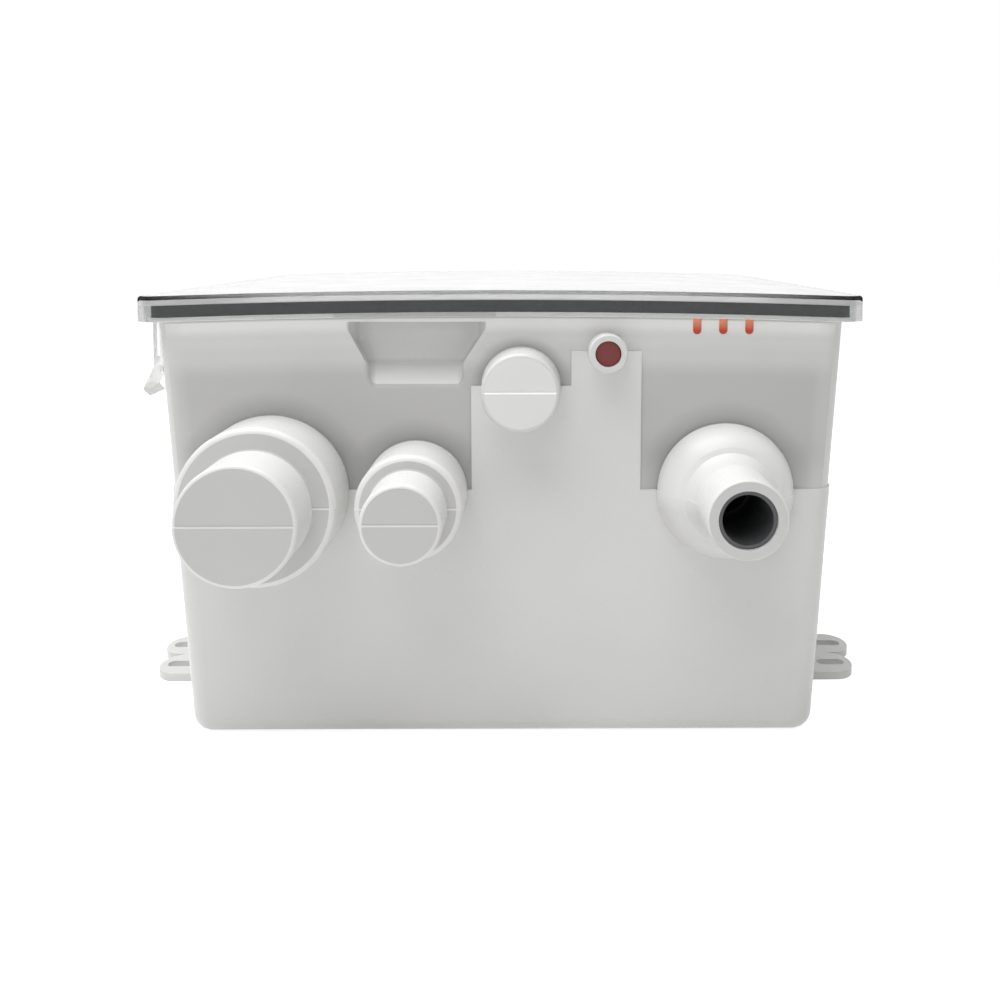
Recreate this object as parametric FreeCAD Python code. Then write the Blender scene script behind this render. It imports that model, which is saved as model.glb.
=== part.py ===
import FreeCAD, Part
import math
import os

Vector = FreeCAD.Vector

# Shower sump: a moulded tub with hose ports, a clear snap-on lid, and inside it a cartridge pump,
# a float switch, a strainer basket and a check valve. Millimetres; X along the long side,
# front wall towards -Y, Z up, origin on the floor under the middle of the tub.

over = 1.0  # how far a cutting shape runs past the face it cuts

# Tub shell
rim_length = 237.0  # outside the wall, just under the rim flange
rim_depth = 178.0
tub_height = 148.0  # floor to the underside of the rim flange
wall_draft = 2.3  # degrees, the front and back walls lean in towards the base
end_draft = 3.05  # degrees, the same for the end walls
tub_wall = 2.6
floor_thickness = 3.0
wall_corner_radius = 7.5
lip_corner_radius = 4.2  # the flange, gasket and lid run round this corner
base_edge_radius = 6.5
floor_inner_radius = 3.2
parting_height = 89.5  # the mould parts here, and below it the wall stands proud
parting_step = 0.6
parting_ridge = 0.35  # at a port the half below the parting line stands proud of the half above
rim_crown = 2.1  # the rim and lid bow up by this much at mid length
flange_reach = 3.4
flange_thickness = 1.4
lip_height = 3.9
lip_extra = 12.0  # trimmed off above the lip

# Stepped-up part of the parting line round the blank boss and the cable boss
blank_panel_left = -10.3
blank_panel_right = 24.0
cable_panel_right = 48.0

# Ports on the front wall, each reach measured out from the rim plane
port_height = 89.5
port_wall = 2.7
port_edge_radius = 1.3
port_root_radius = 0.6  # the inner corner where a spigot meets its collar
collar_edge_radius = 2.0
collar_root_gap = 0.4  # a collar is straight to this far off the wall, and flares out behind that
collar_root_flare = 1.6  # how much wider it is where it starts inside the wall
inlet_large_inset = 39.5  # from the rim's left end
inlet_large_radius = 19.05
inlet_large_reach = 37.7
inlet_large_collar_radius = 26.3
inlet_large_collar_reach = 19.6
inlet_medium_x = -29.3
inlet_medium_radius = 12.7
inlet_medium_reach = 36.7
inlet_medium_collar_radius = 17.5
inlet_medium_collar_reach = 20.2
blank_x = 6.8
blank_drop = 22.0  # below the flange
blank_base_radius = 13.9
blank_end_radius = 12.9
blank_reach = 15.0
cable_x = 35.9
cable_drop = 10.0
cable_boss_radius = 6.5
cable_bore_radius = 4.35
cable_boss_reach = 9.0
outlet_inset = 41.3  # from the rim's right end
outlet_radius = 12.7
outlet_reach = 32.6
outlet_bore_radius = 9.25
outlet_dome_radius = 23.4
outlet_dome_foot = 0.6  # how far behind the rim plane the dome's edge lies
outlet_dome_reach = 8.6
outlet_dome_bulge = 1.3  # how far the dome swells past a straight cone
outlet_shoulder_radius = 17.2
outlet_shoulder_fall = 0.6
outlet_neck_reach = 15.0
outlet_neck_radius = 15.4
outlet_neck_hollow = 0.6  # how far the neck curves in from a straight cone
port_root = 7.0  # how far a boss starts behind the rim plane, inside the wall

# Finger recess under the rim
recess_top_left = -53.7
recess_top_right = -3.7
recess_floor_left = -45.7
recess_floor_right = -13.4
recess_floor_drop = 14.8  # below the flange
recess_ramp_drop = 22.7
recess_depth = 6.2
recess_lean = 1.0  # its left side leans in by this much below the floor line
recess_flare = 3.0  # how much wider it is at the wall than at its back, each side
recess_inner_radius = 2.0
recess_edge_radius = 1.2

# Mounting feet, two lobes each
foot_thickness = 3.2
lobe_radius = 8.5
outer_lobe_y = 36.0
outer_lobe_reach = 22.5  # past the rim's end
inner_lobe_y = 19.0
inner_lobe_reach = 26.5
foot_slot_width = 4.6
foot_slot_length = 11.0
foot_root_inset = 14.5

# Lid, gasket and latches
gasket_thickness = 1.5
gasket_roof = 0.3
gasket_inner_leg = 1.2
gasket_inner_drop = 2.8
lid_seal_gap = 0.3
lid_plate = 3.0
skirt_gap = 0.35
skirt_wall = 1.9
skirt_clear = 0.4  # skirt bottom above the flange's underside
lid_edge_radius = 1.1
lid_rib_height = 2.4
lid_rib_width = 1.6
lid_rib_pitch = 46.0
lid_rib_count = 4
lid_rib_length = 142.0
lid_hinge_drop = 2.8  # below the flange
hinge_bar_radius = 1.2
hinge_bar_gap = 0.06
hinge_ring_wall = 1.3
hinge_inset = 38.0  # from the rim's front and back faces
hinge_tongue_width = 14.0
hinge_ear_width = 2.5
hinge_side_gap = 0.4
hinge_bar_reach = 3.1  # bar centre out from the rim line
hinge_mouth = 0.4  # the ring's snap opening starts this far past its centre
latch_inset = 25.0  # from the rim's front and back faces
latch_width = 22.0
latch_side_gap = 0.3
latch_pivot_rise = 3.2  # above the flange's underside, the drops below it
latch_pin_radius = 0.5
latch_pin_length = 1.4
latch_pin_gap = 0.05
latch_pin_end_gap = 0.2
latch_pin_root = 0.5  # the trunnion's length inside the skirt
latch_strip_drop = 17.0
latch_tip_drop = 25.4
latch_tip_reach = 4.1
latch_hook_drop = 24.6
latch_hook_gap = 0.6  # between the hook's flat top and the catch
latch_tab_thickness = 2.4
latch_window_rim = 5.0
latch_window_floor = 3.0
latch_rib_height = 1.2
latch_rib_width = 1.4
latch_rib_set_back = 3.0
latch_bend_radius = 2.0
latch_edge_radius = 0.6
catch_reach = 1.0
catch_drop = 19.0
catch_height = 5.0
catch_nose = 2.4  # the catch is this high at its tip
catch_width = 14.0
hook_gap = 0.35
strip_gap = 0.4

# Cable boss plug
plug_gap = 0.05
plug_length = 12.0
plug_recess = 0.9
plug_tail_radius = 2.6
plug_tail_length = 4.0
plug_nose_radius = 0.5

# Check valve in the outlet, held by a keeper that drops into three slots of the rim
valve_radius = 14.5
valve_gap = 0.1
valve_front = 4.5  # front of the cartridge, out from the rim plane
valve_chamber_radius = 10.8
valve_front_wall = 2.0
valve_seat_hole = 7.2
valve_seat_place = 7.0  # behind the rim plane
valve_groove_front = 5.6
valve_groove_back = 8.7
valve_groove_radius = 13.4
valve_flange_radius = 16.5
valve_flange_back = 11.0
valve_body_radius = 13.9
valve_body_back = 19.0
valve_tail_back = 38.0
nose_gap = 0.1  # the cartridge's nose lines the outlet
nose_set_back = 0.8
nose_throat = 8.55
nose_bore = 7.95
nose_taper = 7.5  # length of the cone between the two
flap_radius = 8.9
flap_thickness = 1.6
flap_weight_radius = 5.5
flap_weight_thickness = 2.6
flap_hinge_rise = 8.9
flap_hinge_place = 5.3  # behind the rim plane
flap_knuckle_radius = 1.3
flap_knuckle_width = 5.6
flap_seat_gap = 0.3
flap_rim_gap = 0.3
flap_pin_radius = 0.8
flap_pin_length = 17.0
flap_pin_gap = 0.05
valve_ring_section = 0.9
valve_ring_place = 1.5
keeper_slot_shift = -1.4  # from the port's axis
keeper_slot_pitch = 8.9
keeper_slot_width = 2.9
keeper_slot_count = 3
keeper_slot_drop = 4.4  # below the flange
keeper_tooth_gap = 0.1
keeper_tooth_set_back = 0.4
keeper_front = 6.0  # behind the rim plane
keeper_thickness = 2.4
keeper_width = 36.0
keeper_leg_drop = 6.0
keeper_fork_gap = 0.2
keeper_window = 18.0
keeper_window_radius = 3.0
keeper_window_rise = 34.0  # above the port's axis
keeper_guide_gap = 0.3
keeper_guide_wall = 2.0
keeper_guide_lip = 2.2
keeper_guide_drop = 4.0  # the guides end this far below the flange

# Hose and barbs
barb_radius = 9.0
barb_ridge = 0.55
barb_count = 2
barb_crest_place = 0.75  # of a pitch, and the crest slopes back over barb_slope of one
barb_slope = 0.6
barb_half_pitch = 0.5  # plain end after the last barb
hose_bore_radius = 9.6
hose_wall = 2.4
hose_bend_radius = 25.0
clamp_wall = 0.8
clamp_gap = 0.05
clamp_width = 8.0
clamp_block_length = 10.0
clamp_block_height = 6.0
clamp_screw_radius = 2.0
clamp_screw_head_radius = 3.2
clamp_screw_head = 3.0
clamp_set_back = 2.0  # from the pump barb's end
clamp_valve_set_back = 4.0
screw_slot_width = 1.0
screw_slot_depth = 1.0

# Pump
pump_inset = 45.0  # from the rim's back face
pump_offset = 19.5  # volute outlet sideways from the motor axis
pad_height = 3.0
pad_radius = 5.0
pump_screw_spacing = 44.0
screw_radius = 1.5
screw_head_radius = 3.1
screw_head_height = 2.2
screw_tip = 1.2  # height of a floor screw's end
screw_head_edge = 1.2
base_radius = 32.0
base_floor = 2.0
base_height = 11.0
base_wall = 2.2
base_ring = 2.0
base_slot_count = 28
base_slot_width = 2.6
base_slot_margin = 0.6
base_edge = 1.5
soft_edge = 0.6
rib_root = 0.5  # how far a rib runs into what it stands on
volute_radius = 31.0
volute_height = 29.0
volute_floor = 2.0
volute_edge = 1.0
volute_rib_count = 12
volute_rib_width = 2.0
volute_rib_reach = 1.4
volute_rib_rise = 2.0
volute_rib_drop = 6.0
volute_spigot_gap = 0.1
volute_spigot_drop = 2.0
eye_radius = 9.0
chamber_radius = 25.0
chamber_height = 15.0
seat_bore_radius = 27.6
volute_outlet_rise = 9.7
volute_outlet_radius = 9.4
volute_outlet_bore = 7.2
volute_neck_reach = 32.0
barb_length = 12.0
barb_root = 1.0
bayonet_count = 3
bayonet_lip_angle = 24.0
bayonet_lug_angle = 20.0
bayonet_root = 1.0
bayonet_lip = 2.2
bayonet_gap = 0.3
bayonet_lug_height = 2.8

# Motor cartridge
cartridge_radius = 26.0
cartridge_body_radius = 24.6
cartridge_wall = 2.0
cartridge_height = 58.0
cartridge_floor = 3.6
cartridge_rib_count = 6
cartridge_rib_width = 1.6
cartridge_rib_drop = 4.0
cartridge_shoulder = 2.0
cartridge_gap = 0.3
stand_gap = 2.0  # round the seal
stand_wall = 2.0
flute_count = 24
flute_width = 1.6
flute_reach = 1.2
flute_rise = 10.0
flute_drop = 4.0
cap_height = 7.0
cap_wall = 2.0
cap_plug_drop = 4.0
cap_slope = 5.0
cap_edge = 4.0
cap_wing_height = 5.0
cap_wing_width = 4.0
cap_wing_inset = 4.0
cap_wing_edge = 1.4
gland_radius = 4.0
gland_inset = 8.0
gland_rise = 3.0
ring_gap = 0.1
ring_section = 1.15
ring_rise = 3.2
can_radius = 19.0
can_wall = 1.3
can_height = 44.0
can_edge = 1.6
can_lift = 6.4  # underside above the cartridge's underside
magnet_radius = 17.5
magnet_wall = 2.2
magnet_height = 26.0
magnet_angle = 130.0
core_radius = 14.8
core_height = 22.0
core_slot_count = 5
core_slot_width = 2.4
core_slot_depth = 7.0
winding_height = 3.4
winding_outer = 12.6
winding_inner = 5.2
winding_edge = 1.2
commutator_gap = 0.6
commutator_slot_width = 0.5
commutator_slot_depth = 1.0
commutator_radius = 4.6
commutator_height = 7.0
shaft_radius = 1.6
shaft_gap = 0.05
shaft_end = 1.0
bearing_radius = 4.4
bearing_height = 4.0
bearing_seat_wall = 1.6
seal_radius = 6.0
seal_height = 3.0
brush_gap = 0.05
brush_width = 3.4
brush_height = 4.0
brush_length = 7.5
brush_rise = 1.8  # above the commutator's foot
brush_box_gap = 1.6
brush_box_wall = 1.2
brush_plate_thickness = 2.6
impeller_radius = 22.0
impeller_plate = 1.5
impeller_height = 11.5
impeller_hub_radius = 4.6
impeller_hub_taper = 1.2
impeller_root_radius = 2.0
impeller_gap = 1.6
vane_count = 6
vane_thickness = 1.6
vane_start_radius = 8.5
vane_set_back = 0.4
vane_lift = 0.6
vane_turn = 62.0  # degrees from its root to its tip
vane_turn_middle = 0.39  # share of the turn at half reach
nut_radius = 3.2
nut_height = 2.4

# Float switch
switch_inset = 56.5  # from the rim's left end
switch_back_inset = 47.0  # from its back face
switch_length = 72.0
switch_width = 32.0
switch_plate = 2.5
switch_corner_radius = 4.0
switch_screw_spacing = 48.0
switch_ear_width = 2.5
switch_ear_gap = 0.3
switch_ear_radius = 4.0
switch_ear_back = 5.0
switch_ear_front = 9.0
switch_pivot_inset = 5.5
switch_pivot_rise = 11.5
switch_pin_radius = 1.5
switch_pin_gap = 0.05
switch_hub_radius = 4.0
float_width = 17.0
float_height = 16.0
float_length = 54.0
float_start = 7.0
float_edge_radius = 3.0
float_clear = 1.2
float_arm_half = 3.2
float_arm_reach = 8.0
float_arm_inset = 3.5
capsule_inset = 12.0
capsule_radius = 4.0
capsule_length = 32.0
capsule_gap = 0.1

# Strainer basket
basket_inset = 20.5  # from the rim's left end
basket_right = 22.0
basket_front = 9.0  # behind the rim plane
basket_depth = 34.0
basket_bottom = 34.0
basket_height = 76.0
basket_front_height = 28.0
basket_wall = 2.0
basket_window_count = 6
basket_bar = 3.0
basket_top_bar = 5.0
basket_handle_height = 10.0
basket_handle_width = 34.0
basket_handle_bar = 4.0
basket_handle_radius = 5.0
mesh_thickness = 0.6
mesh_drop = 2.0
rail_wall = 2.0
rail_gap = 0.3
rail_lip = 3.0

# Values that follow from the driving dimensions
rim_front = -rim_depth / 2
inlet_large_x = inlet_large_inset - rim_length / 2
outlet_x = rim_length / 2 - outlet_inset
blank_height = tub_height - blank_drop
cable_height = tub_height - cable_drop
recess_floor_height = tub_height - recess_floor_drop
recess_ramp_height = tub_height - recess_ramp_drop
flange_top = tub_height + flange_thickness
lip_top = flange_top + lip_height
gasket_top = lip_top + gasket_roof
lid_underside = gasket_top + lid_seal_gap
lid_top = lid_underside + lid_plate
skirt_bottom = tub_height + skirt_clear
lid_half_length = rim_length / 2 + flange_reach + skirt_gap + skirt_wall
lid_half_depth = rim_depth / 2 + flange_reach + skirt_gap + skirt_wall
lid_corner_radius = lip_corner_radius + flange_reach + skirt_gap + skirt_wall
lid_hinge_height = tub_height - lid_hinge_drop
hinge_x = rim_length / 2 + hinge_bar_reach
hinge_y = rim_depth / 2 - hinge_inset
latch_y = rim_depth / 2 - latch_inset
latch_pivot_x = -lid_half_length + skirt_wall / 2
latch_pivot_height = tub_height + latch_pivot_rise
latch_strip_bottom = tub_height - latch_strip_drop
catch_bottom = tub_height - catch_drop
latch_hook_top = catch_bottom - latch_hook_gap
keeper_slot_centre = outlet_x + keeper_slot_shift
keeper_slot_bottom = tub_height - keeper_slot_drop
pump_x = outlet_x - pump_offset
pump_y = rim_depth / 2 - pump_inset
base_bottom = floor_thickness + pad_height
base_top = base_bottom + base_height
volute_top = base_top + volute_height
outlet_axis_height = base_top + volute_outlet_rise
cartridge_bottom = base_top + volute_floor + chamber_height + cartridge_gap
cartridge_top = cartridge_bottom + cartridge_height
can_bottom = cartridge_bottom + can_lift
can_top = can_bottom + can_height
impeller_top = cartridge_bottom - impeller_gap
hose_radius = hose_bore_radius + hose_wall
switch_x = switch_inset - rim_length / 2
switch_y = rim_depth / 2 - switch_back_inset
basket_left = basket_inset - rim_length / 2


def lean(height):
    """How far the front and back walls have leant in at this height, measured from the flange."""
    return math.tan(math.radians(wall_draft)) * (tub_height - height)


def end_lean(height):
    """The same for the end walls."""
    return math.tan(math.radians(end_draft)) * (tub_height - height)


def box(x0, x1, y0, y1, z0, z1):
    return Part.makeBox(x1 - x0, y1 - y0, z1 - z0, Vector(x0, y0, z0))


def rod(start, direction, radius, length):
    return Part.makeCylinder(radius, length, start, direction)


def rounded_face(corners, radii):
    """A flat face with straight sides, each corner rounded by its own radius."""
    starts, middles, ends = [], [], []
    count = len(corners)
    for index, corner in enumerate(corners):
        if radii[index] == 0:
            starts.append(corner)
            middles.append(None)
            ends.append(corner)
            continue
        back = (corners[index - 1] - corner).normalize()
        ahead = (corners[(index + 1) % count] - corner).normalize()
        half_angle = back.getAngle(ahead) / 2
        inward = (back + ahead).normalize()
        centre = corner + inward * (radii[index] / math.sin(half_angle))
        reach = radii[index] / math.tan(half_angle)
        starts.append(corner + back * reach)
        middles.append(centre - inward * radii[index])
        ends.append(corner + ahead * reach)
    edges = []
    for index in range(count):
        if middles[index] is not None:
            edges.append(Part.Arc(starts[index], middles[index], ends[index]).toShape())
        following = starts[(index + 1) % count]
        if (following - ends[index]).Length > 1e-6:
            edges.append(Part.LineSegment(ends[index], following).toShape())
    return Part.Face(Part.Wire(edges))


def rectangle_prism(half_x, half_y, radius, z0, z1):
    corners = [Vector(-half_x, -half_y, z0), Vector(half_x, -half_y, z0),
               Vector(half_x, half_y, z0), Vector(-half_x, half_y, z0)]
    return rounded_face(corners, [radius] * 4).extrude(Vector(0, 0, z1 - z0))


def prism_xz(points, y0, y1):
    face = rounded_face([Vector(x, y0, z) for x, z in points], [0] * len(points))
    return face.extrude(Vector(0, y1 - y0, 0))


def prism_yz(points, x0, x1):
    face = rounded_face([Vector(x0, y, z) for y, z in points], [0] * len(points))
    return face.extrude(Vector(x1 - x0, 0, 0))


def turned_front(x, height, profile, radii=None):
    """A solid turned about a front-to-back axis; profile holds (radius, reach from the rim plane)."""
    corners = [Vector(x + radius, rim_front - reach, height) for radius, reach in profile]
    face = rounded_face(corners, radii or [0] * len(corners))
    return face.revolve(Vector(x, rim_front, height), Vector(0, 1, 0), 360)


def turned_up(x, y, profile, radii=None):
    """A solid turned about a vertical axis; profile holds (radius, height)."""
    corners = [Vector(x + radius, y, height) for radius, height in profile]
    face = rounded_face(corners, radii or [0] * len(corners))
    return face.revolve(Vector(x, y, 0), Vector(0, 0, 1), 360)


def joined(shapes):
    whole = shapes[0].multiFuse(shapes[1:])
    return whole.removeSplitter()


def spread(shape, count, centre, axis):
    """Copies of a shape turned evenly round an axis."""
    copies = []
    for index in range(count):
        copy = shape.copy()
        copy.rotate(centre, axis, index * 360.0 / count)
        copies.append(copy)
    return copies


def mirrored(shape):
    """The same shape on the other side of the XZ plane."""
    return shape.mirror(Vector(0, 0, 0), Vector(0, 1, 0))


def tub_block(z0, z1, inset, edge_radius=0):
    """The tub's form between two heights: four flat leaning sides and rounded corners."""
    rings = []
    for height in (z0, z1):
        half_x = rim_length / 2 - end_lean(height) - inset
        half_y = rim_depth / 2 - lean(height) - inset
        rings.append([Vector(-half_x, -half_y, height), Vector(half_x, -half_y, height),
                      Vector(half_x, half_y, height), Vector(-half_x, half_y, height)])
    low, high = rings
    outlines = [low[::-1], high]
    for index in range(4):
        after = (index + 1) % 4
        outlines.append([low[index], low[after], high[after], high[index]])
    shell = Part.makeShell([Part.Face(Part.makePolygon(points + points[:1])) for points in outlines])
    shell.sewShape()
    block = Part.makeSolid(shell)
    corners = [edge for edge in block.Edges if edge.BoundBox.ZLength > over]
    block = block.makeFillet(wall_corner_radius - inset, corners)
    if edge_radius == 0:
        return block
    return block.makeFillet(edge_radius, [edge for edge in block.Edges if edge.BoundBox.ZMax < z0 + 0.01])


def lip_prism(outset):
    """An upright block round the lip, this far outside it."""
    return rectangle_prism(rim_length / 2 + outset, rim_depth / 2 + outset, lip_corner_radius + outset,
                           parting_height, lip_top + lip_extra)


def crowned_slab(z_low, z_high):
    """A wide slab bowed up along X, which gives the rim and lid their crown."""
    reach = lid_half_length + flange_reach
    sag = rim_crown * (reach / (rim_length / 2)) ** 2
    side = rim_depth
    low = [Vector(-reach, -side, z_low + rim_crown - sag), Vector(0, -side, z_low + rim_crown),
           Vector(reach, -side, z_low + rim_crown - sag)]
    high = [point + Vector(0, 0, z_high - z_low) for point in low]
    edges = [
        Part.Arc(*low).toShape(),
        Part.LineSegment(low[2], high[2]).toShape(),
        Part.Arc(*high).toShape(),
        Part.LineSegment(high[0], low[0]).toShape(),
    ]
    return Part.Face(Part.Wire(Part.sortEdges(edges)[0])).extrude(Vector(0, 2 * side, 0))


def rim_level(x, height):
    """A height on the crowned rim, at this distance along it."""
    return height + rim_crown * (1 - (x / (rim_length / 2)) ** 2)


def inner_front(height):
    """The inner face of the front wall."""
    return rim_front + lean(height) + tub_wall


def recess_shape(grow, top):
    """The finger recess; grown by the wall it is the pocket that stands inside the tub."""
    floor = recess_floor_height - grow
    ramp = recess_ramp_height - grow
    outline = [
        (recess_top_left - grow, top),
        (recess_floor_left - grow, floor),
        (recess_floor_left + recess_lean - grow, ramp),
        (recess_floor_right + grow, ramp),
        (recess_floor_right + grow, floor),
        (recess_top_right + grow, top),
    ]
    outside = rim_front - tub_wall
    back = rim_front + lean(recess_floor_height) + recess_depth + grow
    section = [(outside, ramp), (rim_front + lean(recess_ramp_height), ramp), (back, floor),
               (back, top), (outside, top)]
    flare = recess_flare * (back - outside) / recess_depth
    plan = [
        Vector(recess_top_left - grow, outside, 0), Vector(recess_top_right + grow, outside, 0),
        Vector(recess_top_right + grow - flare, back, 0), Vector(recess_top_left - grow + flare, back, 0),
    ]
    across = prism_xz(outline, outside, back)
    along = prism_yz(section, recess_top_left - 2 * recess_depth, recess_top_right + 2 * recess_depth)
    above = rounded_face(plan, [0] * len(plan)).extrude(Vector(0, 0, 2 * tub_height))
    pocket = across.common(along).common(above)
    inner = [edge for edge in pocket.Edges
             if edge.BoundBox.YMax > outside + tub_wall and edge.BoundBox.ZMin < top - recess_depth / 2]
    return pocket.makeFillet(recess_inner_radius, inner)


def lower_half(shape, height):
    side = rim_length
    return shape.common(box(-side, side, -side, side, 0, height))


def inlet_boss(x, collar_radius, collar_reach, end_radius, end_reach):
    """A stepped hose spigot with a closed end, which the fitter saws open."""
    straight = collar_root_gap - lean(port_height + collar_radius)
    halves = []
    for proud in (0, parting_ridge):
        profile = [(0, -port_root), (collar_radius + collar_root_flare, -port_root),
                   (collar_radius, straight), (collar_radius, collar_reach + proud),
                   (end_radius, collar_reach + proud), (end_radius, end_reach + proud),
                   (0, end_reach + proud)]
        halves.append(turned_front(x, port_height, profile,
                                   [0, 0, 0, collar_edge_radius, port_root_radius, port_edge_radius, 0]))
    return halves[0].fuse(lower_half(halves[1], port_height))


def inlet_bore(x, collar_radius, collar_reach, end_radius, end_reach):
    wide = collar_radius - port_wall
    narrow = end_radius - port_wall
    step = collar_reach - port_wall
    profile = [(0, -2 * port_root), (wide, -2 * port_root), (wide, step), (narrow, step),
               (narrow, end_reach - port_wall), (0, end_reach - port_wall)]
    return turned_front(x, port_height, profile)


def bulged_arc(start, finish, bulge, side):
    """An arc between two points that swells by bulge away from the straight line, towards side."""
    middle = (start + finish) * 0.5
    across = (finish - start).cross(Vector(0, 0, 1)).normalize()
    if across.dot(side) < 0:
        across = across * -1
    return Part.Arc(start, middle + across * bulge, finish).toShape()


def outlet_form(grow):
    """The outlet's outside: a domed root, a shoulder, a hollow neck and the hose spigot."""
    def at(radius, reach):
        return Vector(outlet_x + radius, rim_front - reach, port_height)
    dome = at(outlet_dome_radius + grow, -outlet_dome_foot)
    shoulder = at(outlet_shoulder_radius + grow, outlet_dome_reach)
    neck = at(outlet_neck_radius + grow, outlet_dome_reach + outlet_shoulder_fall)
    spigot = at(outlet_radius, outlet_neck_reach + grow)
    end = at(outlet_radius, outlet_reach)
    outward = Vector(1, -1, 0)
    corners = [at(0, outlet_reach), at(0, -port_root), at(outlet_dome_radius + grow, -port_root), dome]
    edges = [Part.LineSegment(*pair).toShape() for pair in zip(corners, corners[1:])]
    edges += [
        bulged_arc(dome, shoulder, outlet_dome_bulge, outward),
        Part.LineSegment(shoulder, neck).toShape(),
        bulged_arc(neck, spigot, outlet_neck_hollow, outward * -1),
        Part.LineSegment(spigot, end).toShape(),
        Part.LineSegment(end, corners[0]).toShape(),
    ]
    boss = Part.Face(Part.Wire(edges)).revolve(Vector(outlet_x, rim_front, port_height),
                                               Vector(0, 1, 0), 360)
    ends = [edge for edge in boss.Edges
            if abs(edge.BoundBox.YMin - end.y) < 0.01 and edge.BoundBox.YLength < 0.01
            and edge.BoundBox.XLength > outlet_radius]
    return boss.makeFillet(port_root_radius, ends)


def outlet_boss():
    return outlet_form(0).fuse(lower_half(outlet_form(parting_ridge), port_height))


def outlet_bores():
    """The waterway through the outlet, with the check valve's socket at its root."""
    socket = valve_front + valve_gap
    profile = [(0, -2 * port_root), (valve_radius + valve_gap, -2 * port_root),
               (valve_radius + valve_gap, socket), (outlet_bore_radius, socket),
               (outlet_bore_radius, outlet_reach + over), (0, outlet_reach + over)]
    return turned_front(outlet_x, port_height, profile)


def keeper_slots(gap, y_out, y_in):
    """The three slots of the rim, or with a gap the teeth that fill them."""
    half = keeper_slot_width / 2 - gap
    cuts = []
    for index in range(keeper_slot_count):
        x = keeper_slot_centre + (index - (keeper_slot_count - 1) / 2) * keeper_slot_pitch
        low = keeper_slot_bottom + keeper_slot_width / 2
        top = rim_level(x, lip_top) + (lip_extra if gap == 0 else -gap)
        cuts.append(box(x - half, x + half, y_out, y_in, low, top))
        cuts.append(rod(Vector(x, y_out, low), Vector(0, 1, 0), half, y_in - y_out))
    return joined(cuts)


def foot(side):
    """One mounting foot: two rounded lobes with a screw slot in each."""
    lobes, slots = [], []
    for y, reach in ((outer_lobe_y, outer_lobe_reach), (inner_lobe_y, inner_lobe_reach)):
        centre = rim_length / 2 + reach - lobe_radius
        root = rim_length / 2 - foot_root_inset
        lobes.append(box(root, centre, y - lobe_radius, y + lobe_radius, 0, foot_thickness))
        lobes.append(rod(Vector(centre, y, 0), Vector(0, 0, 1), lobe_radius, foot_thickness))
        half = foot_slot_width / 2
        inner = centre - (foot_slot_length / 2 - half)
        outer = centre + (foot_slot_length / 2 - half)
        depth = foot_thickness + 2 * over
        slots.append(box(inner, outer, y - half, y + half, -over, foot_thickness + over))
        slots.append(rod(Vector(inner, y, -over), Vector(0, 0, 1), half, depth))
        slots.append(rod(Vector(outer, y, -over), Vector(0, 0, 1), half, depth))
    plate = joined(lobes).cut(joined(slots))
    if side < 0:
        plate = plate.mirror(Vector(0, 0, 0), Vector(1, 0, 0))
    return plate


def hinge_bracket():
    """Two ears and the round bar between them, which the lid's ring turns on."""
    half = hinge_tongue_width / 2 + hinge_side_gap
    wall = rim_length / 2 - end_lean(lid_hinge_height) - tub_wall / 2
    parts = [rod(Vector(hinge_x, hinge_y - half - hinge_ear_width, lid_hinge_height),
                 Vector(0, 1, 0), hinge_bar_radius, 2 * (half + hinge_ear_width))]
    outline = [(wall, lid_hinge_height - 2 * hinge_bar_radius),
               (hinge_x, lid_hinge_height - hinge_bar_radius),
               (hinge_x + hinge_bar_radius, lid_hinge_height),
               (rim_length / 2 + flange_reach, tub_height), (wall, tub_height)]
    for start in (hinge_y - half - hinge_ear_width, hinge_y + half):
        parts.append(prism_xz(outline, start, start + hinge_ear_width))
    return joined(parts)


def latch_catch():
    """The small wedge on the end wall that a latch hooks under."""
    wall = -rim_length / 2 + end_lean(catch_bottom)
    root = wall + tub_wall / 2
    tip = wall - catch_reach
    points = [(root, catch_bottom + catch_height), (tip, catch_bottom + catch_nose),
              (tip, catch_bottom), (root, catch_bottom)]
    return prism_xz(points, latch_y - catch_width / 2, latch_y + catch_width / 2)


def floor_pads(x, y, spacing, axis):
    """A pair of screw pads on the floor, and the pilot holes in them."""
    pads, holes = [], []
    for side in (-1, 1):
        centre = Vector(x, y, 0) + axis * (side * spacing / 2)
        low = centre + Vector(0, 0, floor_thickness / 2)
        pads.append(rod(low, Vector(0, 0, 1), pad_radius, floor_thickness / 2 + pad_height))
        holes.append(rod(centre + Vector(0, 0, screw_tip), Vector(0, 0, 1), screw_radius,
                         floor_thickness + pad_height))
    return pads, holes


def keeper_guides():
    """Two upright ribs with lips, which the keeper slides down between."""
    ribs = []
    low = port_height - keeper_leg_drop
    top = tub_height - keeper_guide_drop
    for side in (-1, 1):
        inner = outlet_x + side * (keeper_width / 2 + keeper_guide_gap)
        outer = inner + side * keeper_guide_wall
        tip = inner - side * keeper_guide_lip
        back = rim_front + keeper_front + keeper_thickness + keeper_guide_gap
        ribs.append(box(min(inner, outer), max(inner, outer), rim_front + tub_wall / 2,
                        back + keeper_guide_wall, low, top))
        ribs.append(box(min(outer, tip), max(outer, tip), back, back + keeper_guide_wall,
                        low + outlet_dome_radius, top))
    return ribs


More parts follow.
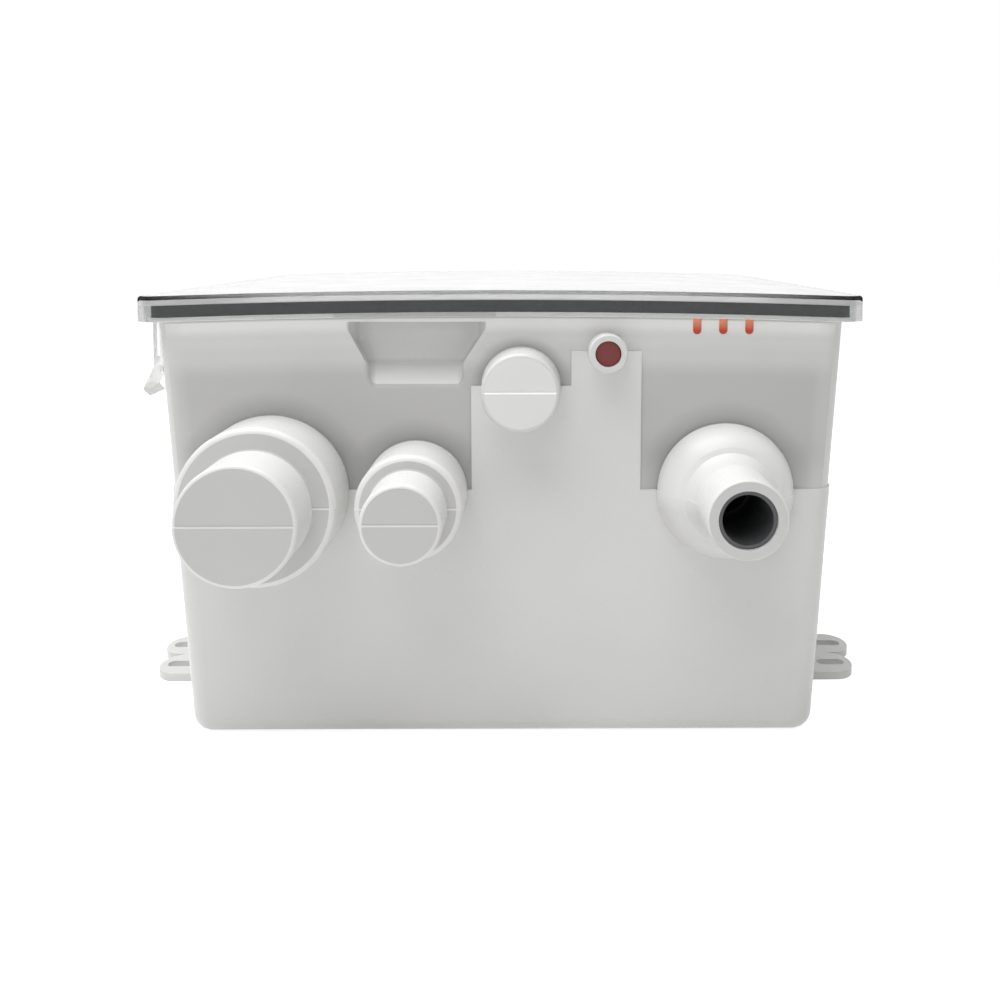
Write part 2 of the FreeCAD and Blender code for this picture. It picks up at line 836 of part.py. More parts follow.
def basket_rails():
    """Upright rails on the front wall with a foot that the basket stands on."""
    rails = []
    front = rim_front + basket_front
    for side, edge in ((-1, basket_left), (1, basket_right)):
        outer_flange = edge + side * rail_lip
        inner = outer_flange + side * rail_gap
        outer = inner + side * rail_wall
        lip = inner - side * (rail_lip - rail_gap)
        back = front + basket_wall + rail_gap
        top = basket_bottom + basket_height
        root = rim_front + tub_wall / 2
        rails.append(box(min(inner, outer), max(inner, outer), root, back + rail_wall,
                         basket_bottom, top))
        rails.append(box(min(outer, lip), max(outer, lip), back, back + rail_wall,
                         basket_bottom, top))
        rails.append(box(min(outer, lip), max(outer, lip), root, back + rail_wall,
                         basket_bottom - rail_wall, basket_bottom))
    return rails


def stepped_walls():
    """The outside of the walls, proud below the parting line, which rises round two small bosses."""
    top = lip_top + lip_extra
    side = rim_length
    upper = tub_block(parting_height - tub_wall, top, 0)
    lower = tub_block(0, top, -parting_step, base_edge_radius)
    proud = [box(-side, side, -side, side, -over, parting_height),
             box(blank_panel_left, blank_panel_right, -side, 0, parting_height - over, blank_height),
             box(blank_panel_right, cable_panel_right, -side, 0, parting_height - over, cable_height)]
    walls = upper.fuse(lower.common(joined(proud)))
    lip = lip_prism(0).common(crowned_slab(tub_height, lip_top))
    return walls.common(crowned_slab(-2 * tub_height, flange_top)).fuse(lip)


def recessed_walls():
    """The walls with the finger recess, its rim softened, under a straight stretch of lip."""
    walls = stepped_walls()
    hollow = walls.cut(recess_shape(0, lip_top + lip_extra))
    rims = []
    for edge in hollow.Edges:
        around = edge.BoundBox
        on_wall = all(abs(point.Point.y - rim_front - lean(point.Point.z)) < 0.01
                      for point in edge.Vertexes)
        in_reach = around.XMin > recess_top_left - over and around.XMax < recess_top_right + over
        if on_wall and in_reach and recess_ramp_height - over < around.ZMin < tub_height:
            rims.append(edge)
    side = rim_length
    above = box(-side, side, -side, side, tub_height, lip_top + lip_extra)
    return hollow.makeFillet(recess_edge_radius, rims).cut(above).fuse(walls.common(above))


def small_boss(x, height, root_radius, end_radius, reach, edge_radius):
    """A short closed boss; its lower half stands proud at the parting line."""
    halves = []
    for proud in (0, parting_ridge):
        profile = [(0, -port_root), (root_radius, -port_root), (end_radius, reach + proud),
                   (0, reach + proud)]
        halves.append(turned_front(x, height, profile, [0, 0, edge_radius, 0]))
    return halves[0].fuse(lower_half(halves[1], height))


def front_bores():
    """The hollows behind the ports and small bosses, with the valve's socket and rim slots."""
    large = (inlet_large_x, inlet_large_collar_radius, inlet_large_collar_reach,
             inlet_large_radius, inlet_large_reach)
    medium = (inlet_medium_x, inlet_medium_collar_radius, inlet_medium_collar_reach,
              inlet_medium_radius, inlet_medium_reach)
    blank_wall = blank_end_radius - port_wall
    blank = turned_front(blank_x, blank_height,
                         [(0, -2 * port_root), (blank_wall, -2 * port_root),
                          (blank_wall, blank_reach - port_wall), (0, blank_reach - port_wall)])
    cable = rod(Vector(cable_x, rim_front - cable_boss_reach - over, cable_height),
                Vector(0, 1, 0), cable_bore_radius, cable_boss_reach + 2 * port_root)
    slots = keeper_slots(0, rim_front - over, inner_front(keeper_slot_bottom) + over)
    under_flange = box(0, rim_length, -rim_depth, 0, 0, tub_height)
    wall_only = tub_block(parting_height, lip_top + lip_extra, 0)
    return [inlet_bore(*large), inlet_bore(*medium), blank, cable, outlet_bores(),
            slots.common(joined([under_flange, wall_only]))]


def outside_form():
    """Everything outside the tub in one body, still solid inside."""
    flange = lip_prism(flange_reach).common(crowned_slab(tub_height, flange_top))
    large = inlet_boss(inlet_large_x, inlet_large_collar_radius, inlet_large_collar_reach,
                       inlet_large_radius, inlet_large_reach)
    medium = inlet_boss(inlet_medium_x, inlet_medium_collar_radius, inlet_medium_collar_reach,
                        inlet_medium_radius, inlet_medium_reach)
    blank = small_boss(blank_x, blank_height, blank_base_radius, blank_end_radius, blank_reach,
                       port_edge_radius)
    cable = small_boss(cable_x, cable_height, cable_boss_radius, cable_boss_radius,
                       cable_boss_reach, port_root_radius)
    feet = [foot(1), foot(-1), mirrored(foot(1)), mirrored(foot(-1))]
    return joined([recessed_walls(), flange, large, medium, blank, cable, outlet_boss()] + feet)


def inside_ribs():
    """The keeper's guides, the basket's rails and the wall behind the recess, trimmed to the walls."""
    room = tub_block(floor_thickness, lip_top + lip_extra, tub_wall / 2)
    ribs = joined(keeper_guides() + basket_rails())
    return [ribs.common(room), recess_shape(tub_wall, flange_top).common(room)]


def make_tub():
    cavity = tub_block(floor_thickness, lip_top + lip_extra, tub_wall, floor_inner_radius)
    solid = outside_form().cut(cavity)
    pump_pads, pump_holes = floor_pads(pump_x, pump_y, pump_screw_spacing, Vector(1, 0, 0))
    switch_pads, switch_holes = floor_pads(switch_x, switch_y, switch_screw_spacing, Vector(1, 0, 0))
    bracket = hinge_bracket()
    catch = latch_catch()
    socket_wall = rod(Vector(outlet_x, rim_front + tub_wall, port_height), Vector(0, 1, 0),
                      valve_radius + tub_wall, keeper_front - keeper_guide_gap - tub_wall)
    solid = joined([solid, bracket, mirrored(bracket), catch, mirrored(catch)] + inside_ribs()
                   + pump_pads + switch_pads)
    solid = solid.fuse(socket_wall)
    for cut in [recess_shape(0, tub_height)] + front_bores() + pump_holes + switch_holes:
        solid = solid.cut(cut)
    return solid.removeSplitter()


def make_gasket():
    """A black channel that sits over the lip, with its wide leg outside."""
    top = lip_top + lip_extra
    outside = lip_prism(gasket_thickness)
    inside = tub_block(parting_height, top, tub_wall + gasket_inner_leg)
    outer_leg = outside.cut(lip_prism(0)).common(crowned_slab(flange_top, gasket_top))
    roof = outside.cut(inside).common(crowned_slab(lip_top, gasket_top))
    inner_leg = tub_block(parting_height, top, tub_wall).cut(inside)
    inner_leg = inner_leg.common(crowned_slab(gasket_top - gasket_inner_drop, gasket_top))
    half = keeper_width / 2 + keeper_guide_gap
    keeper_span = box(outlet_x - half, outlet_x + half, rim_front,
                      rim_front + 2 * (tub_wall + gasket_inner_leg), flange_top, top)
    below = crowned_slab(flange_top, lip_top)
    return joined([outer_leg, roof, inner_leg.cut(keeper_span.common(below))])


def lid_hinge_tongue():
    """A split ring under the skirt, which snaps over the tub's hinge bar."""
    inner = hinge_bar_radius + hinge_bar_gap
    outer = inner + hinge_ring_wall
    start = hinge_y - hinge_tongue_width / 2
    finish = hinge_y + hinge_tongue_width / 2
    place = Vector(hinge_x, start, lid_hinge_height)
    ring = rod(place, Vector(0, 1, 0), outer, hinge_tongue_width)
    far = hinge_x - 2 * outer
    mouth = prism_xz([(hinge_x, lid_hinge_height), (far, lid_hinge_height - hinge_mouth),
                      (far, lid_hinge_height + 2 * outer),
                      (hinge_x + hinge_mouth, lid_hinge_height + 2 * outer)], start, finish)
    arm = box(hinge_x + inner, lid_half_length, start, finish, lid_hinge_height,
              skirt_bottom + skirt_wall)
    flange_room = box(0, rim_length / 2 + flange_reach + skirt_gap, start, finish,
                      tub_height - hinge_bar_gap, skirt_bottom + 2 * skirt_wall)
    whole = joined([ring.cut(mouth), arm])
    return whole.cut(rod(place, Vector(0, 1, 0), inner, hinge_tongue_width)).cut(flange_room)


def latch_notch():
    half = latch_width / 2 + latch_side_gap
    return box(-lid_half_length - over, -lid_half_length + skirt_wall, latch_y - half,
               latch_y + half, skirt_bottom - over, latch_pivot_height + skirt_wall)


def latch_pins():
    """Two short trunnions that stand into the notch from its sides."""
    length = latch_pin_root + latch_pin_length
    pins = []
    for side in (-1, 1):
        root = latch_y + side * (latch_width / 2 + latch_side_gap + latch_pin_root)
        pins.append(rod(Vector(latch_pivot_x, root, latch_pivot_height), Vector(0, -side, 0),
                        latch_pin_radius, length))
    return pins


def make_lid():
    top = lid_top + lip_extra
    outer = rectangle_prism(lid_half_length, lid_half_depth, lid_corner_radius, parting_height, top)
    outer = outer.common(crowned_slab(skirt_bottom, lid_top))
    edges = [edge for edge in outer.Edges if edge.BoundBox.ZMin > lid_top - rim_crown
             and (abs(edge.BoundBox.YMin) > lid_half_depth - lid_corner_radius - over
                  or abs(edge.BoundBox.XMin) > lid_half_length - lid_corner_radius - over)]
    outer = outer.makeFillet(lid_edge_radius, edges)
    inner = rectangle_prism(lid_half_length - skirt_wall, lid_half_depth - skirt_wall,
                            lid_corner_radius - skirt_wall, parting_height, top)
    inner = inner.common(crowned_slab(parting_height, lid_underside))
    shell = outer.cut(inner)
    notch = latch_notch()
    shell = shell.cut(notch).cut(mirrored(notch))
    parts = [shell]
    for index in range(lid_rib_count):
        x = (index - (lid_rib_count - 1) / 2) * lid_rib_pitch
        level = rim_level(x, lid_underside)
        parts.append(box(x - lid_rib_width / 2, x + lid_rib_width / 2, -lid_rib_length / 2,
                         lid_rib_length / 2, level - lid_rib_height, level + lid_plate / 2))
    tongue = lid_hinge_tongue()
    pins = latch_pins()
    parts += [tongue, mirrored(tongue)] + pins + [mirrored(pin) for pin in pins]
    return joined(parts)


def latch_ribs(strip):
    """Two ribs up the back of the strap, one along each edge."""
    start = latch_y - latch_width / 2
    return [box(strip - latch_rib_width / 2, strip + latch_rib_height, edge, edge + latch_rib_width,
                latch_hook_top, tub_height - latch_rib_set_back)
            for edge in (start, start + latch_width - latch_rib_width)]


def make_latch():
    """A clear strap with a hinge barrel at its top and a hook and finger tab at its foot."""
    start = latch_y - latch_width / 2
    outer = -lid_half_length
    strip = -(rim_length / 2 + flange_reach + strip_gap)
    hook = -rim_length / 2 + end_lean(catch_bottom) - catch_reach - hook_gap
    tip = tub_height - latch_tip_drop
    tab = outer - latch_tip_reach
    outline = [
        Vector(outer, start, latch_pivot_height), Vector(outer, start, latch_strip_bottom),
        Vector(tab, start, tip),
        Vector(tab + latch_tab_thickness, start, tip - latch_tab_thickness),
        Vector(hook, start, tub_height - latch_hook_drop), Vector(hook, start, latch_hook_top),
        Vector(strip, start, latch_hook_top), Vector(strip, start, latch_pivot_height),
    ]
    edge = latch_edge_radius
    body = rounded_face(outline, [0, latch_bend_radius, edge, edge, edge, edge, edge, 0])
    body = body.extrude(Vector(0, latch_width, 0))
    axis = Vector(latch_pivot_x, start, latch_pivot_height)
    barrel = rod(axis, Vector(0, 1, 0), skirt_wall / 2, latch_width)
    window = box(-rim_length, rim_length, start + latch_window_rim,
                 start + latch_width - latch_window_rim, latch_strip_bottom + latch_window_floor,
                 latch_pivot_height - latch_window_rim)
    strap = joined([body, barrel] + latch_ribs(strip)).cut(window)
    depth = latch_pin_length - latch_side_gap + latch_pin_end_gap
    for end, inward in ((axis, 1), (axis + Vector(0, latch_width, 0), -1)):
        strap = strap.cut(rod(end, Vector(0, inward, 0), latch_pin_radius + latch_pin_gap, depth))
    return strap


def make_cable_plug():
    """A push-in plug that blanks the cable boss, with a pull tail inside."""
    front = cable_boss_reach - plug_recess
    radius = cable_bore_radius - plug_gap
    profile = [(0, front - plug_length - plug_tail_length),
               (plug_tail_radius, front - plug_length - plug_tail_length),
               (plug_tail_radius, front - plug_length), (radius, front - plug_length),
               (radius, front), (0, front)]
    soft = plug_nose_radius
    return turned_front(cable_x, cable_height, profile, [0, soft, 0, 2 * soft, soft, 0])


def barb_profile(base, tip, bore):
    """Outer points of a hose barb from its root at base to its end at tip, as (radius, place)."""
    pitch = (tip - base) / (barb_count + barb_half_pitch)
    points = [(barb_radius, base)]
    for index in range(barb_count):
        crest = base + (index + barb_crest_place) * pitch
        points += [(barb_radius, crest), (barb_radius + barb_ridge, crest)]
        points += [(barb_radius, crest + barb_slope * pitch)]
    return points + [(barb_radius, tip), (bore, tip)]


def make_valve_body():
    """The check valve's cartridge: long nose, keeper groove, flange and hose barb."""
    nose_end = outlet_reach - nose_set_back
    nose_radius = outlet_bore_radius - nose_gap
    outer = [(nose_throat, valve_front), (nose_bore, valve_front + nose_taper), (nose_bore, nose_end),
             (nose_radius, nose_end), (nose_radius, valve_front), (valve_radius, valve_front),
             (valve_radius, -valve_groove_front), (valve_groove_radius, -valve_groove_front),
             (valve_groove_radius, -valve_groove_back), (valve_flange_radius, -valve_groove_back),
             (valve_flange_radius, -valve_flange_back), (valve_body_radius, -valve_flange_back),
             (valve_body_radius, -valve_body_back)]
    barb = barb_profile(-valve_body_back, -valve_tail_back, valve_seat_hole)
    bore = [(valve_seat_hole, -valve_seat_place), (valve_chamber_radius, -valve_seat_place),
            (valve_chamber_radius, valve_front - valve_front_wall)]
    body = turned_front(outlet_x, port_height, outer + barb + bore)
    groove = Part.makeTorus(valve_radius + valve_ring_section / 3, valve_ring_section,
                            Vector(outlet_x, rim_front - valve_ring_place, port_height),
                            Vector(0, 1, 0))
    return body.cut(groove).cut(flap_pin())


def make_valve_ring():
    """The seal ring in the cartridge's groove, flattened by the socket it seals against."""
    ring = Part.makeTorus(valve_radius + valve_ring_section / 3, valve_ring_section,
                          Vector(outlet_x, rim_front - valve_ring_place, port_height),
                          Vector(0, 1, 0))
    socket = rod(Vector(outlet_x, rim_front - valve_front, port_height), Vector(0, 1, 0),
                 valve_radius + valve_gap, 2 * port_root)
    return ring.common(socket)


def flap_pin():
    return rod(Vector(outlet_x - flap_pin_length / 2, rim_front + flap_hinge_place,
                      port_height + flap_hinge_rise), Vector(1, 0, 0), flap_pin_radius,
               flap_pin_length)


def make_valve_flap():
    """A rubber-faced disc that hangs from its knuckle and closes the seat."""
    back = rim_front + valve_seat_place - flap_seat_gap
    disc = rod(Vector(outlet_x, back - flap_thickness, port_height), Vector(0, 1, 0),
               flap_radius, flap_thickness)
    weight = rod(Vector(outlet_x, back - flap_thickness - flap_weight_thickness, port_height),
                 Vector(0, 1, 0), flap_weight_radius, flap_weight_thickness)
    knuckle = rod(Vector(outlet_x - flap_knuckle_width / 2, rim_front + flap_hinge_place,
                         port_height + flap_hinge_rise), Vector(1, 0, 0), flap_knuckle_radius,
                  flap_knuckle_width)
    web = box(outlet_x - flap_knuckle_width / 2, outlet_x + flap_knuckle_width / 2,
              back - flap_thickness, back, port_height + flap_hinge_rise - flap_knuckle_width / 2,
              port_height + flap_hinge_rise)
    bore = rod(Vector(outlet_x - flap_knuckle_width, rim_front + flap_hinge_place,
                      port_height + flap_hinge_rise), Vector(1, 0, 0),
               flap_pin_radius + flap_pin_gap, 2 * flap_knuckle_width)
    chamber = rod(Vector(outlet_x, rim_front, port_height), Vector(0, 1, 0),
                  valve_chamber_radius - flap_rim_gap, valve_seat_place)
    return joined([disc, weight, knuckle, web]).common(chamber).cut(bore)


def make_keeper():
    """The fork that locks the check valve: a plate, two legs and three teeth in the rim slots."""
    front = rim_front + keeper_front
    back = front + keeper_thickness
    top = rim_level(keeper_slot_centre + keeper_slot_pitch, lip_top) - keeper_tooth_gap
    low = port_height - keeper_leg_drop
    half = keeper_width / 2
    plate = box(outlet_x - half, outlet_x + half, front, back, low, top)
    fork = valve_groove_radius + keeper_fork_gap
    depth = keeper_thickness + 2 * over
    gap = joined([rod(Vector(outlet_x, front - over, port_height), Vector(0, 1, 0), fork, depth),
                  box(outlet_x - fork, outlet_x + fork, front - over, back + over, low - over,
                      port_height)])
    window = rectangle_prism(keeper_window / 2, keeper_window / 2, keeper_window_radius, 0, depth)
    window.rotate(Vector(0, 0, 0), Vector(1, 0, 0), -90)
    window.translate(Vector(outlet_x, front - over, port_height + keeper_window_rise))
    teeth = keeper_slots(keeper_tooth_gap, rim_front + keeper_tooth_set_back, front + over)
    return joined([plate.cut(gap).cut(window), teeth])


def make_hose(radius, trim=0):
    """Out of the pump, up in one bend and forward into the check valve in another."""
    start = Vector(outlet_x, pump_y - volute_neck_reach + trim, outlet_axis_height)
    finish = Vector(outlet_x, rim_front + valve_body_back - trim, port_height)
    rise_y = (pump_y - volute_neck_reach - barb_length + rim_front + valve_tail_back) / 2
    bend = hose_bend_radius
    cut_back = bend * (1 - math.sqrt(0.5))
    points = [
        start,
        Vector(outlet_x, rise_y + bend, start.z),
        Vector(outlet_x, rise_y + cut_back, start.z + cut_back),
        Vector(outlet_x, rise_y, start.z + bend),
        Vector(outlet_x, rise_y, finish.z - bend),
        Vector(outlet_x, rise_y - cut_back, finish.z - cut_back),
        Vector(outlet_x, rise_y - bend, finish.z),
        finish,
    ]
    edges = [
        Part.LineSegment(points[0], points[1]).toShape(),
        Part.Arc(points[1], points[2], points[3]).toShape(),
        Part.LineSegment(points[3], points[4]).toShape(),
        Part.Arc(points[4], points[5], points[6]).toShape(),
        Part.LineSegment(points[6], points[7]).toShape(),
    ]
    ring = Part.Wire(Part.makeCircle(radius, points[0], Vector(0, -1, 0)))
    return Part.Wire(edges).makePipeShell([ring], True, False)


def clamp_band(y, height):
    """A worm-drive hose clamp: the band and its screw housing."""
    inner = hose_radius + clamp_gap
    outer = inner + clamp_wall
    place = Vector(outlet_x, y, height)
    band = rod(place, Vector(0, 1, 0), outer, clamp_width)
    half = clamp_block_length / 2
    block = box(outlet_x - half, outlet_x + half, y, y + clamp_width,
                height + inner, height + outer + clamp_block_height)
    screw_hole = rod(clamp_screw_place(y, height) - Vector(clamp_block_length, 0, 0), Vector(1, 0, 0),
                     clamp_screw_radius, 2 * clamp_block_length)
    return joined([band, block]).cut(rod(place, Vector(0, 1, 0), inner, clamp_width)).cut(screw_hole)


def clamp_screw_place(y, height):
    rise = hose_radius + clamp_gap + clamp_wall + clamp_block_height / 2
    return Vector(outlet_x, y + clamp_width / 2, height + rise)


def clamp_screw(y, height):
    place = clamp_screw_place(y, height)
    half = clamp_block_length / 2
    shank = rod(place - Vector(half, 0, 0), Vector(1, 0, 0), clamp_screw_radius, clamp_block_length)
    head = rod(place + Vector(half, 0, 0), Vector(1, 0, 0), clamp_screw_head_radius, clamp_screw_head)
    end = place.x + half + clamp_screw_head
    slot = box(end - screw_slot_depth, end + over, place.y - clamp_screw_head_radius,
               place.y + clamp_screw_head_radius, place.z - screw_slot_width / 2,
               place.z + screw_slot_width / 2)
    return joined([shank, head]).cut(slot)


def pump_clamp_place():
    return pump_y - volute_neck_reach - barb_length + clamp_set_back, outlet_axis_height


def valve_clamp_place():
    return rim_front + valve_body_back + clamp_valve_set_back, port_height


def floor_screws(x, y, spacing, under_head):
    screws = []
    for side in (-1, 1):
        centre = Vector(x + side * spacing / 2, y, screw_tip)
        shank = rod(centre, Vector(0, 0, 1), screw_radius, under_head - screw_tip)
        head = turned_up(centre.x, centre.y,
                         [(0, under_head), (screw_head_radius, under_head),
                          (screw_head_radius, under_head + screw_head_height),
                          (0, under_head + screw_head_height)], [0, 0, screw_head_edge, 0])
        top = under_head + screw_head_height
        slot = box(centre.x - screw_slot_width / 2, centre.x + screw_slot_width / 2,
                   centre.y - screw_head_radius, centre.y + screw_head_radius,
                   top - screw_slot_depth, top + over)
        screws.append(joined([shank, head]).cut(slot))
    return Part.makeCompound(screws)


def make_strainer_base():
    """A slotted cup screwed to the floor, which the pump stands on and draws through."""
    inner = base_radius - base_wall
    cup = turned_up(pump_x, pump_y,
                    [(0, base_bottom), (base_radius, base_bottom), (base_radius, base_top),
                     (inner - base_ring, base_top), (inner - base_ring, base_top - base_ring),
                     (inner, base_top - base_ring), (inner, base_bottom + base_floor),
                     (0, base_bottom + base_floor)], [0, base_edge, soft_edge, 0, 0, 0, 0, 0])
    slot = box(pump_x + inner - over, pump_x + base_radius + over, pump_y - base_slot_width / 2,
               pump_y + base_slot_width / 2, base_bottom + base_floor,
               base_top - base_ring - base_slot_margin)
    for copy in spread(slot, base_slot_count, Vector(pump_x, pump_y, 0), Vector(0, 0, 1)):
        cup = cup.cut(copy)
    for side in (-1, 1):
        centre = Vector(pump_x + side * pump_screw_spacing / 2, pump_y, 0)
        cup = cup.cut(rod(centre, Vector(0, 0, 1), screw_radius, base_top))
    return cup


def bayonet_ring(inner, outer, z0, z1, angle):
    """Evenly spaced arc segments, used for the housing's lips and the cartridge's lugs."""
    ring = turned_up(pump_x, pump_y, [(inner, z0), (outer, z0), (outer, z1), (inner, z1)])
    half = math.radians(angle / 2)
    reach = 2 * outer
    axis = Vector(pump_x, pump_y, z0 - over)
    sides = [axis + Vector(reach * math.cos(half), turn * reach * math.sin(half), 0)
             for turn in (-1, 1)]
    wedge = Part.Face(Part.makePolygon([axis] + sides + [axis]))
    segment = ring.common(wedge.extrude(Vector(0, 0, z1 - z0 + 2 * over)))
    return spread(segment, bayonet_count, Vector(pump_x, pump_y, 0), Vector(0, 0, 1))


def make_volute():
    """The pump housing: eye, impeller chamber, side outlet with its barb, bayonet lips."""
    spigot = base_radius - base_wall - base_ring - volute_spigot_gap
    under = base_top - volute_spigot_drop
    profile = [(eye_radius, under), (spigot, under), (spigot, base_top), (volute_radius, base_top),
               (volute_radius, volute_top), (eye_radius, volute_top)]
    body = turned_up(pump_x, pump_y, profile, [0, soft_edge, 0, volute_edge, volute_edge, 0])
    start = pump_y - volute_neck_reach
    neck = rod(Vector(outlet_x, pump_y, outlet_axis_height), Vector(0, -1, 0), volute_outlet_radius,
               volute_neck_reach)
    points = barb_profile(0, barb_length, volute_outlet_bore)
    points += [(volute_outlet_bore, -barb_root), (barb_radius, -barb_root)]
    corners = [Vector(outlet_x + radius, start - place, outlet_axis_height) for radius, place in points]
    barb = rounded_face(corners, [0] * len(corners))
    barb = barb.revolve(Vector(outlet_x, start, outlet_axis_height), Vector(0, 1, 0), 360)
    rib = box(pump_x + volute_radius - rib_root, pump_x + volute_radius + volute_rib_reach,
              pump_y - volute_rib_width / 2, pump_y + volute_rib_width / 2,
              base_top + volute_rib_rise, volute_top - volute_rib_drop)
    ribs = spread(rib, volute_rib_count, Vector(pump_x, pump_y, 0), Vector(0, 0, 1))
    step = base_top + volute_floor
    chamber = [(0, under - over), (eye_radius, under - over), (eye_radius, step), (chamber_radius, step),
               (chamber_radius, step + chamber_height), (seat_bore_radius, step + chamber_height),
               (seat_bore_radius, volute_top + over), (0, volute_top + over)]
    hollow = turned_up(pump_x, pump_y, chamber)
    waterway = rod(Vector(outlet_x, pump_y, outlet_axis_height), Vector(0, -1, 0),
                   volute_outlet_bore, volute_neck_reach + barb_length + over)
    housing = joined([body, neck] + ribs).cut(hollow)
    housing = joined([housing, barb]).cut(waterway)
    lips = bayonet_ring(cartridge_radius + bayonet_gap, seat_bore_radius + bayonet_root,
                        volute_top - bayonet_lip, volute_top, bayonet_lip_angle)
    return joined([housing] + lips)


def make_cartridge_shell():
    """The motor's housing, open at the top, with ribs that hold the motor can."""
    body_low = volute_top + bayonet_gap
    cavity = cartridge_body_radius - cartridge_wall
    floor = cartridge_bottom + cartridge_floor
    outer = [(0, cartridge_bottom), (cartridge_radius, cartridge_bottom),
             (cartridge_radius, body_low + cartridge_shoulder),
             (cartridge_body_radius, body_low + 2 * cartridge_shoulder),
             (cartridge_body_radius, cartridge_top), (0, cartridge_top)]
    shell = turned_up(pump_x, pump_y, outer, [0, soft_edge, soft_edge, soft_edge, 0, 0])
    hollow = turned_up(pump_x, pump_y, [(0, floor), (cavity, floor), (cavity, cartridge_top + over),
                                        (0, cartridge_top + over)])
    rib = box(pump_x + can_radius, pump_x + cavity + rib_root, pump_y - cartridge_rib_width / 2,
              pump_y + cartridge_rib_width / 2, floor - rib_root, can_top - cartridge_rib_drop)
    ribs = spread(rib, cartridge_rib_count, Vector(pump_x, pump_y, 0), Vector(0, 0, 1))
    stand_inner = seal_radius + stand_gap
    stand = turned_up(pump_x, pump_y, [(stand_inner, floor - rib_root),
                                       (stand_inner + stand_wall, floor - rib_root),
                                       (stand_inner + stand_wall, can_bottom), (stand_inner, can_bottom)])
    flute = box(pump_x + cartridge_body_radius - rib_root, pump_x + cartridge_body_radius + flute_reach,
                pump_y - flute_width / 2, pump_y + flute_width / 2, body_low + flute_rise,
                cartridge_top - flute_drop)
    flutes = spread(flute, flute_count, Vector(pump_x, pump_y, 0), Vector(0, 0, 1))
    lug_top = volute_top - bayonet_lip - bayonet_gap
    lugs = bayonet_ring(cartridge_radius - bayonet_root, seat_bore_radius - bayonet_gap,
                        lug_top - bayonet_lug_height, lug_top, bayonet_lug_angle)
    shell = joined([shell.cut(hollow), stand] + ribs + flutes + lugs)
    shell = shell.cut(rod(Vector(pump_x, pump_y, cartridge_bottom - over), Vector(0, 0, 1),
                          seal_radius, cartridge_floor + 2 * over))
    return shell.cut(make_cartridge_ring())


def make_cartridge_ring():
    """The seal ring between the cartridge's foot and the housing's bore."""
    return Part.makeTorus(seat_bore_radius - ring_gap - ring_section, ring_section,
                          Vector(pump_x, pump_y, cartridge_bottom + ring_rise), Vector(0, 0, 1))


def make_cartridge_cap():
    """The domed cap with two finger wings to turn the cartridge by."""
    inner = cartridge_body_radius - cartridge_wall
    plug = inner - cap_wall
    top = cartridge_top + cap_height
    cap = turned_up(pump_x, pump_y,
                    [(0, cartridge_top + cap_wall), (plug, cartridge_top + cap_wall),
                     (plug, cartridge_top - cap_plug_drop), (inner, cartridge_top - cap_plug_drop),
                     (inner, cartridge_top), (cartridge_body_radius, cartridge_top),
                     (cartridge_body_radius - cap_slope, top), (0, top)],
                    [0, 0, 0, 0, 0, 0, cap_edge, 0])
    wing_half = inner - cap_wing_inset
    wing = box(pump_x - wing_half, pump_x + wing_half, pump_y - cap_wing_width / 2,
               pump_y + cap_wing_width / 2, top - rib_root, top + cap_wing_height)
    wing = wing.makeFillet(cap_wing_edge, [edge for edge in wing.Edges if edge.BoundBox.ZMin > top])
    gland = rod(Vector(pump_x, pump_y + inner - gland_inset, cartridge_top + cap_wall),
                Vector(0, 0, 1), gland_radius, cap_height + gland_rise - cap_wall)
    return joined([cap, wing, gland])


def make_motor_can():
    hole = bearing_radius
    seat_top = can_bottom + bearing_height
    inner = can_radius - can_wall
    return turned_up(pump_x, pump_y,
                     [(hole, can_bottom), (can_radius, can_bottom), (can_radius, can_top),
                      (inner, can_top), (inner, can_bottom + can_wall),
                      (hole + can_wall, can_bottom + can_wall), (hole + can_wall, seat_top),
                      (hole, seat_top)], [0, can_edge, 0, 0, soft_edge, 0, 0, 0])


def magnet_bottom():
    return can_bottom + can_wall + bearing_height


def make_magnets():
    """Two facing arcs of a ring."""
    z0 = magnet_bottom()
    z1 = z0 + magnet_height
    inner = magnet_radius - magnet_wall
    ring = turned_up(pump_x, pump_y, [(inner, z0), (magnet_radius, z0), (magnet_radius, z1), (inner, z1)])
    reach = 2 * magnet_radius
    rise = reach * math.tan(math.radians((180.0 - magnet_angle) / 2))
    axis = Vector(pump_x, pump_y, z0 - over)
    wedge = Part.Face(Part.makePolygon([axis, axis + Vector(reach, -rise, 0),
                                        axis + Vector(reach, rise, 0), axis]))
    wedge = wedge.extrude(Vector(0, 0, magnet_height + 2 * over))
    for gap in spread(wedge, 2, Vector(pump_x, pump_y, 0), Vector(0, 0, 1)):
        ring = ring.cut(gap)
    return ring


def core_bottom():
    return magnet_bottom() + (magnet_height - core_height) / 2


def slotted_drum(radius, z0, height, slot_width, slot_depth):
    """A drum on the motor shaft with upright slots round it."""
    drum = turned_up(pump_x, pump_y, [(shaft_radius, z0), (radius, z0), (radius, z0 + height),
                                      (shaft_radius, z0 + height)])
    slot = box(pump_x + radius - slot_depth, pump_x + radius + over, pump_y - slot_width / 2,
               pump_y + slot_width / 2, z0 - over, z0 + height + over)
    for copy in spread(slot, core_slot_count, Vector(pump_x, pump_y, 0), Vector(0, 0, 1)):
        drum = drum.cut(copy)
    return drum


def make_armature():
    return slotted_drum(core_radius, core_bottom(), core_height, core_slot_width, core_slot_depth)


def make_windings():
    """The end turns above and below the core."""
    rings = []
    soft = winding_edge
    for z0 in (core_bottom() - winding_height, core_bottom() + core_height):
        z1 = z0 + winding_height
        rings.append(turned_up(pump_x, pump_y, [(winding_inner, z0), (winding_outer, z0),
                                                (winding_outer, z1), (winding_inner, z1)], [soft] * 4))
    return Part.makeCompound(rings)


